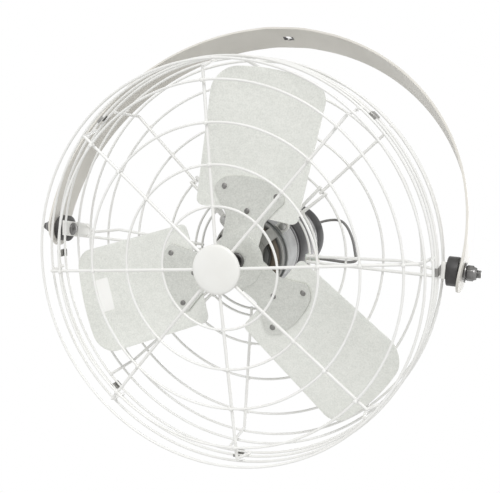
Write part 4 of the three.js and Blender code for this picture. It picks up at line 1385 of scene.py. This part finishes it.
@dataclass
class Motor:
    """Front bell, bare stator band, rear shell and rounded end cap."""

    radius: float = 49.5
    wall: float = 2.0
    edge: float = 10.0
    bell_front: float = 92.7
    stator_front: float = 106.7
    stator_rear: float = 161.2
    shell_rear: float = 253.2
    cap_rear: float = 293.2
    shaft_hole: float = 8.4
    seat_inside: float = 14.2
    seat_outside: float = 17.2
    rib_half: float = 7.5
    window_span: tuple[float, float] = (24.0, 60.0)
    window_bend: float = 5.0
    stator_bore: float = 30.0
    stator_chamfer: float = 0.5
    bead_deep: float = 1.2
    bead_wide: int = 8
    gap: float = 0.3
    steps: int = 96

    def build(self, maker: Maker) -> None:
        """Makes the housing and dresses what is inside it."""
        self.bell(maker)
        self.stator(maker)
        self.shell(maker)
        self.cap(maker)
        dress(["winding_front", "winding_rear"], WINDING)
        dress(["bearing_front", "bearing_rear"], ZINC)
        dress(["run_capacitor"], CAN)

    def rounded_face(self, face: float, sign: float) -> list[tuple[float, float]]:
        """A quarter-round from an end face to the outer wall.

        Args:
            face: Depth of the end face.
            sign: 1 where the wall runs back from the face, -1 where it runs forward.

        Returns:
            The profile's points.
        """
        middle, edge = self.radius - self.edge, self.edge
        steps = [math.radians(90.0 * i / 8) for i in range(9)]
        return [(middle + edge * math.sin(a), face + sign * edge * (1 - math.cos(a))) for a in steps]

    def bell(self, maker: Maker) -> None:
        """The cast front bell: a boss and four ribs, with an open window between them."""
        front, rear = self.bell_front, self.stator_front - self.gap
        inner, wall = self.radius - self.wall, front + self.wall
        profile = [(self.shaft_hole, front), (20.0, front), (21.0, front + 1.0), (30.0, front + 1.0),
                   (31.0, front)]
        profile += self.rounded_face(front, 1.0)
        profile += [(self.radius, rear), (inner, rear), (inner, front + self.edge), (inner - 3, front + 5),
                    (inner - self.edge, wall), (self.seat_outside, wall), (self.seat_outside, front + 11.5),
                    (self.seat_inside, front + 11.5), (self.seat_inside, front + 2.2),
                    (self.shaft_hole, front + 2.2)]
        windows = [self.window(angle) for angle in (0.0, 90.0, 180.0, 270.0)]
        bm = soften(cut_out(revolve(profile, self.steps), windows), 0.4)
        maker.piece(bm, "front_bell", CAST, ["motor_front_bell"])

    def window(self, angle: float) -> bmesh.types.BMesh:
        """The space between two ribs of the bell, widening outwards."""
        near, far = self.window_span
        bm = block((far - near, 16.0, 2.0), ((near + far) / 2, self.bell_front + 2.0, 0.0))
        for vert in bm.verts:
            vert.co.z *= vert.co.x - self.rib_half * math.sqrt(2.0)
        upright = [e for e in bm.edges if abs(e.verts[0].co.y - e.verts[1].co.y) > 1.0]
        bmesh.ops.bevel(bm, geom=upright, offset=self.window_bend, segments=5, profile=0.5, affect="EDGES",
                        clamp_overlap=True, material=-1)
        return moved(bm, turned(angle))

    def stator(self, maker: Maker) -> None:
        """The bare stack of core sheets."""
        bore, out, bevel = self.stator_bore, self.radius, self.stator_chamfer
        front, rear = self.stator_front, self.stator_rear
        profile = [(bore, front), (out - bevel, front), (out, front + bevel),
                   (out, rear - bevel), (out - bevel, rear), (bore, rear)]
        maker.piece(revolve(profile, self.steps), "stator_stack", CORE, ["stator_core"])

    def shell(self, maker: Maker) -> None:
        """The rear shell with a rolled groove near its front edge."""
        out, inner = self.radius, self.radius - self.wall
        front, rear = self.stator_rear + self.gap, self.shell_rear - self.gap
        groove = front + 6.0
        profile = [(inner, front), (out, front), (out, groove)]
        for i in range(1, self.bead_wide):
            profile.append((out - self.bead_deep * math.sin(math.pi * i / self.bead_wide), groove + i))
        profile += [(out, groove + self.bead_wide), (out, rear), (inner, rear)]
        bm = soften(revolve(profile, self.steps), 0.3, 50.0)
        maker.piece(bm, "rear_shell", MOTOR_ENAMEL, ["motor_rear_shell"])

    def cap(self, maker: Maker) -> None:
        """The end cap with a well rounded edge."""
        rear, front = self.cap_rear, self.shell_rear
        inner, wall = self.radius - self.wall, rear - self.wall
        profile = [(0.0, rear), *self.rounded_face(rear, -1.0), (self.radius, front), (inner, front),
                   (inner, rear - self.edge), (inner - 4, rear - 5), (inner - self.edge, wall),
                   (self.seat_outside, wall), (self.seat_outside, rear - 21.0),
                   (self.seat_inside, rear - 21.0), (self.seat_inside, rear - 11.8),
                   (self.shaft_hole, rear - 11.8), (self.shaft_hole, wall), (0.0, wall)]
        bm = soften(revolve(profile, self.steps), 0.3, 50.0)
        maker.piece(bm, "rear_cap", CAP_ENAMEL, ["motor_end_cap"])


@dataclass
class MotorMount:
    """The band with four ears, and the bolts through the hairpins."""

    band_inside: float = 49.8
    band_outside: float = 51.8
    rear: float = 121.45
    width: float = 8.0
    ear_radius: float = 59.0
    ear_half: float = 7.8
    ear_thick: float = 3.4
    ear_sunk: float = 0.8
    hairpin_rear: float = 126.25
    gap: float = 0.3
    bolt: float = 2.9
    thread_root: float = 2.55
    thread_pitch: float = 0.8
    hex_corner: float = 5.51
    head_high: float = 4.0
    nut_span: tuple[float, float] = (1.2, 6.0)
    flange: float = 6.7

    def build(self, maker: Maker) -> None:
        """Makes the band and its four bolts."""
        near, far = self.band_inside, self.band_outside
        front, rear = self.rear - self.width, self.rear
        band = revolve([(near, front), (far, front), (far, rear), (near, rear)], 96)
        parts = [soften(band, 0.4)]
        for i in range(4):
            ear = moved(self.ear(), turned(45.0 + 90.0 * i))
            for face in ear.faces:
                face.material_index = 1
            parts.append(ear)
        maker.piece(joined(parts), "mount_band", CORE, ["motor_band"], others=[GUARD_PAINT])
        for i in range(4):
            self.bolt_set(maker, i)

    def ear(self) -> bmesh.types.BMesh:
        """One ear: a tongue with a round end and a hole."""
        bm = bmesh.new()
        place = Matrix.Translation((self.ear_radius, self.rear, 0)) @ Matrix.Rotation(math.pi / 2, 4, "X")
        ring = bmesh.ops.create_circle(bm, cap_ends=False, segments=40, radius=self.ear_half,
                                       matrix=place)["verts"]
        for vert in ring:
            if vert.co.x < self.ear_radius - 1e-4:
                reach = math.sqrt(self.band_outside ** 2 - vert.co.z ** 2) - self.ear_sunk
                vert.co = Vector((reach, vert.co.y, vert.co.z))
        bmesh.ops.remove_doubles(bm, verts=bm.verts, dist=1e-3)
        hole = bmesh.ops.create_circle(bm, cap_ends=False, segments=24, radius=self.bolt + self.gap,
                                       matrix=place)["verts"]
        bmesh.ops.triangle_fill(bm, edges=edges_of(ring) + edges_of(hole), use_beauty=True)
        grown = bmesh.ops.extrude_face_region(bm, geom=bm.faces[:])["geom"]
        lifted = [g for g in grown if isinstance(g, bmesh.types.BMVert)]
        bmesh.ops.translate(bm, vec=(0, -self.ear_thick, 0), verts=lifted)
        return merged(bm)

    def bolt_set(self, maker: Maker, index: int) -> None:
        """A bolt with a hexagon head in front and a flanged nut behind."""
        head_rear = self.rear - self.ear_thick - self.gap
        seat = self.hairpin_rear + self.gap
        nut_front, nut_rear = (seat + past for past in self.nut_span)
        hexagons = [(head_rear - self.head_high, head_rear), (nut_front, nut_rear)]
        parts = [soften(hexagon(self.hex_corner, near, far), 0.45, 30.0) for near, far in hexagons]
        flange = [(self.bolt, seat), (self.flange, seat), (self.flange - 0.2, seat + 0.8),
                  (self.flange - 1.5, seat + 1.6), (self.bolt, seat + 1.6)]
        parts.append(revolve(flange, 36))
        shank = [(0.0, head_rear - 1.0), (self.bolt, head_rear - 1.0), (self.bolt, nut_rear)]
        at, tail, pitch = nut_rear, nut_rear + 3.0, self.thread_pitch
        while at + pitch < tail - 0.2:
            shank += [(self.thread_root, at + 0.3), (self.bolt, at + pitch)]
            at += pitch
        shank += [(2.4, tail), (0.0, tail)]
        parts.append(revolve(shank, 28))
        place = turned(45.0 + 90.0 * index) @ Matrix.Translation((self.ear_radius, 0, 0))
        bm = moved(joined(parts), place)
        maker.piece(bm, f"mount_screw_{index + 1}", ZINC, [f"mount_bolt_{index + 1}"])


# ---------------------------------------------------------------------- propeller


@dataclass
class Propeller:
    """Three pressed blades riveted to a three-armed spider on a collar."""

    first: float = 81.5
    blades: int = 3
    bore: float = 6.5
    gap: float = 0.3
    tip: float = 246.5
    root: float = 61.0
    half_tip: float = 73.0
    half_root: float = 66.0
    sheet: float = 1.6
    camber: float = 4.0
    pitch: float = 9.0
    corner_trailing: float = 30.0
    corner_leading: float = 20.0
    corner_root: float = 8.0
    blade_grid: tuple[int, int] = (56, 28)
    hub_depth: float = 62.5
    hub_flat: float = 24.0
    hub_run_out: float = 32.0
    spider_sheet: float = 2.5
    spider_disc: float = 36.0
    spider_disc_proud: float = 0.05
    spider_root: float = 10.0
    spider_reach: float = 109.5
    spider_neck: float = 25.0
    spider_half: float = 45.5
    spider_flare: float = 56.0
    spider_corner: float = 15.0
    spider_grid: tuple[int, int] = (40, 20)
    rivets: tuple[tuple[float, float], ...] = ((91.6, 33.9), (91.6, -33.9), (65.8, 0.0))
    label_at: tuple[float, float] = (209.5, -6.0)
    label_half: tuple[float, float] = (10.2, 22.5)
    label_lift: float = 0.12
    label_thick: float = 0.1
    collar_radius: float = 16.0
    collar_long: float = 20.0
    collar_bevel: float = 2.0

    def __post_init__(self) -> None:
        """Works out the sheets' thickness along the axis and the blades' depth."""
        slope = 1.0 / math.cos(math.radians(self.pitch))
        self.spider_thick = self.spider_sheet * slope
        self.blade_thick = self.sheet * slope
        self.blade_depth = self.hub_depth + (self.spider_thick + self.blade_thick) / 2 + self.gap * slope

    def pressed(self, u: float, v: float) -> float:
        """Depth of the pressed sheet at a place along and across a blade."""
        across = v / self.half_tip
        camber = self.camber * max(1.0 - across * across, 0.0)
        share = min(max((math.hypot(u, v) - self.hub_flat) / self.hub_run_out, 0.0), 1.0)
        return smooth_step(share) * (camber - math.tan(math.radians(self.pitch)) * v)

    @staticmethod
    def corner_pull(to_end: float, radius: float) -> float:
        """How far a rounded corner draws the edge in, near an end."""
        into = min(max(radius - to_end, 0.0), radius)
        return radius - math.sqrt(radius * radius - into * into)

    def blade_edge(self, u: float, side: float) -> float:
        """Half width of a blade at a distance from the axis."""
        corner = self.corner_trailing if side > 0 else self.corner_leading
        pull = self.corner_pull(self.tip - u, corner) + self.corner_pull(u - self.root, self.corner_root)
        share = (u - self.root) / (self.tip - self.root)
        return self.half_root + (self.half_tip - self.half_root) * share - pull

    def arm_edge(self, u: float, side: float) -> float:
        """Half width of a spider arm at a distance from the axis, the same on both sides."""
        run = self.spider_reach - self.spider_corner - self.spider_flare
        flare = min(max((u - self.spider_flare) / run, 0.0), 1.0)
        half = self.spider_neck + (self.spider_half - self.spider_neck) * flare
        return half - self.corner_pull(self.spider_reach - u, self.spider_corner)

    def pressing(self, root: float, reach: float, edge: Callable[[float, float], float], depth: float,
                 thick: float, grid: tuple[int, int]) -> bmesh.types.BMesh:
        """Presses a sheet from a flat grid.

        Args:
            root: Where it starts, from the axis.
            reach: Its tip, from the axis.
            edge: Half width as a function of distance and side.
            depth: Depth of its middle.
            thick: Its thickness along the axis.
            grid: Grid divisions along it and across it.

        Returns:
            A closed mesh along +X.
        """
        bm = bmesh.new()
        bmesh.ops.create_grid(bm, x_segments=grid[0], y_segments=grid[1], size=1.0)
        for vert in bm.verts:
            share, side = (vert.co.x + 1.0) / 2.0, vert.co.y
            along = 0.5 - 0.5 * math.cos(math.pi * share)
            u = root + along * (reach - root)
            v = edge(u, side) * side
            tip = math.sqrt(max(reach * reach - v * v, 0.0))
            x = root + along * (tip - root)
            vert.co = Vector((x, depth - thick / 2 + self.pressed(x, v), v))
        bmesh.ops.recalc_face_normals(bm, faces=bm.faces)
        grown = bmesh.ops.extrude_face_region(bm, geom=bm.faces[:])["geom"]
        lifted = [g for g in grown if isinstance(g, bmesh.types.BMVert)]
        bmesh.ops.translate(bm, vec=(0, thick, 0), verts=lifted)
        return soften(merged(bm), 0.35, 50.0, 2)

    def build(self, maker: Maker) -> None:
        """Makes the blades, the spider with its rivets, and the hub."""
        arms = []
        for i in range(self.blades):
            angle = self.blade_angle(i)
            blade = self.pressing(self.root, self.tip, self.blade_edge, self.blade_depth,
                                  self.blade_thick, self.blade_grid)
            maker.piece(moved(blade, turned(angle)), f"sheet_blade_{i + 1}", SHEET_ZINC,
                        [f"blade_{i + 1}"])
            arm = self.pressing(self.spider_root, self.spider_reach, self.arm_edge, self.hub_depth,
                                self.spider_thick, self.spider_grid)
            arms.append(moved(arm, turned(angle)))
            for u, v in self.rivets:
                rivet = moved(self.rivet(u, v), turned(angle))
                # Rivet faces take the darker rivet steel, partly their own steel and partly painted shade.
                for face in rivet.faces:
                    face.material_index = 1
                arms.append(rivet)
        front = self.hub_depth - self.spider_thick / 2 - self.spider_disc_proud
        rear, wide = self.hub_depth + self.spider_thick / 2, self.spider_disc
        disc = revolve([(self.bore, front), (wide, front), (wide, rear), (self.bore, rear)], 72)
        arms.append(soften(disc, 0.35))
        # The spider takes the darker zinc, which is painted shade.
        maker.piece(joined(arms), "riveted_spider", SHADED_SPIDER_ZINC, ["spider"],
                    others=[RIVET_STEEL_AND_SHADE])
        self.label(maker)
        self.hub(maker)
        dress(["motor_shaft"], SHAFT)
        dress(["rotor_core"], CORE)
        dress(["set_screw"], DARK_STEEL)

    def blade_angle(self, index: int) -> float:
        """The direction of a blade, in degrees, seen from the front."""
        return self.first + 360.0 / self.blades * index

    def rivet(self, u: float, v: float) -> bmesh.types.BMesh:
        """A domed rivet head on the front of an arm."""
        slope = self.pressed(u, v)
        front = self.hub_depth - self.spider_thick / 2
        profile = [(0.0, -1.6), (1.6, -1.45), (2.9, -1.0), (3.8, -0.3), (4.0, 0.3), (0.0, 0.5)]
        tilt = Matrix.Rotation(-math.radians(self.pitch), 4, "X")
        return moved(revolve(profile, 28), Matrix.Translation((u, front + slope, v)) @ tilt)

    def label(self, maker: Maker) -> None:
        """A blank paper label on the second blade, laid on its pressed face."""
        bm = bmesh.new()
        bmesh.ops.create_grid(bm, x_segments=10, y_segments=16, size=1.0)
        ends = [v for v in bm.verts if v.is_boundary and len(v.link_faces) == 1]
        bmesh.ops.bevel(bm, geom=ends, offset=0.12, segments=3, profile=0.5, affect="VERTICES",
                        clamp_overlap=True, material=-1)
        face = self.blade_depth - self.blade_thick / 2
        for vert in bm.verts:
            u = self.label_at[0] + vert.co.x * self.label_half[0]
            v = self.label_at[1] + vert.co.y * self.label_half[1]
            vert.co = Vector((u, face + self.pressed(u, v) - self.label_lift, v))
        bmesh.ops.recalc_face_normals(bm, faces=bm.faces)
        bmesh.ops.solidify(bm, geom=bm.faces, thickness=-self.label_thick)
        maker.piece(moved(bm, turned(self.blade_angle(1))), "blank_label", PAPER)

    def hub(self, maker: Maker) -> None:
        """The collar that clamps the spider on the shaft."""
        front = self.hub_depth + self.spider_thick / 2 + self.gap
        rear = front + self.collar_long
        bore, wide, bevel = self.bore, self.collar_radius, self.collar_bevel
        profile = [(bore, front), (wide, front), (wide, rear - bevel), (wide - bevel, rear), (bore, rear)]
        boss = self.hub_depth - self.spider_thick / 2 - 0.2
        lip = [(bore, boss), (10.6, boss), (10.6, boss - 2.2), (9.6, boss - 3.0), (bore, boss - 3.0)]
        parts = [soften(revolve(profile, 64), 0.4), soften(revolve(lip, 48), 0.3)]
        maker.piece(joined(parts), "shaft_collar", DARK_STEEL, ["hub_collar"])


# ---------------------------------------------------------------------- the whole


def corners() -> list[list[float]]:
    """The shown object's lowest and highest corner, as plain numbers."""
    return [[float(c) for c in corner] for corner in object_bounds()]


def main() -> None:
    """Builds the studio and every sub-assembly."""
    logging.basicConfig(level=logging.INFO, format="%(name)s: %(message)s")
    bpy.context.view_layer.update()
    Studio().build()
    makers = {
        Body.YOKE: Maker(Body.YOKE, FRAMES.fixed()),
        Body.HEAD: Maker(Body.HEAD, FRAMES.head()),
        Body.ROTOR: Maker(Body.ROTOR, FRAMES.head()),
    }
    parts = [
        (MotorLead(), Body.HEAD),
        (Yoke(), Body.YOKE),
        (PivotSet(Side.LEFT), Body.HEAD),
        (PivotSet(Side.RIGHT), Body.HEAD),
        (FrontGuard(), Body.HEAD),
        (RearGuard(), Body.HEAD),
        (GuardClips(), Body.HEAD),
        (Motor(), Body.HEAD),
        (MotorMount(), Body.HEAD),
        (Propeller(), Body.ROTOR),
    ]
    for part, body in parts:
        maker = makers[body]
        before = len(maker.made)
        part.build(maker)
        log.info("%s: %s", type(part).__name__, ", ".join(maker.made[before:]))
    bpy.context.view_layer.update()


if __name__ == "__main__":
    main()
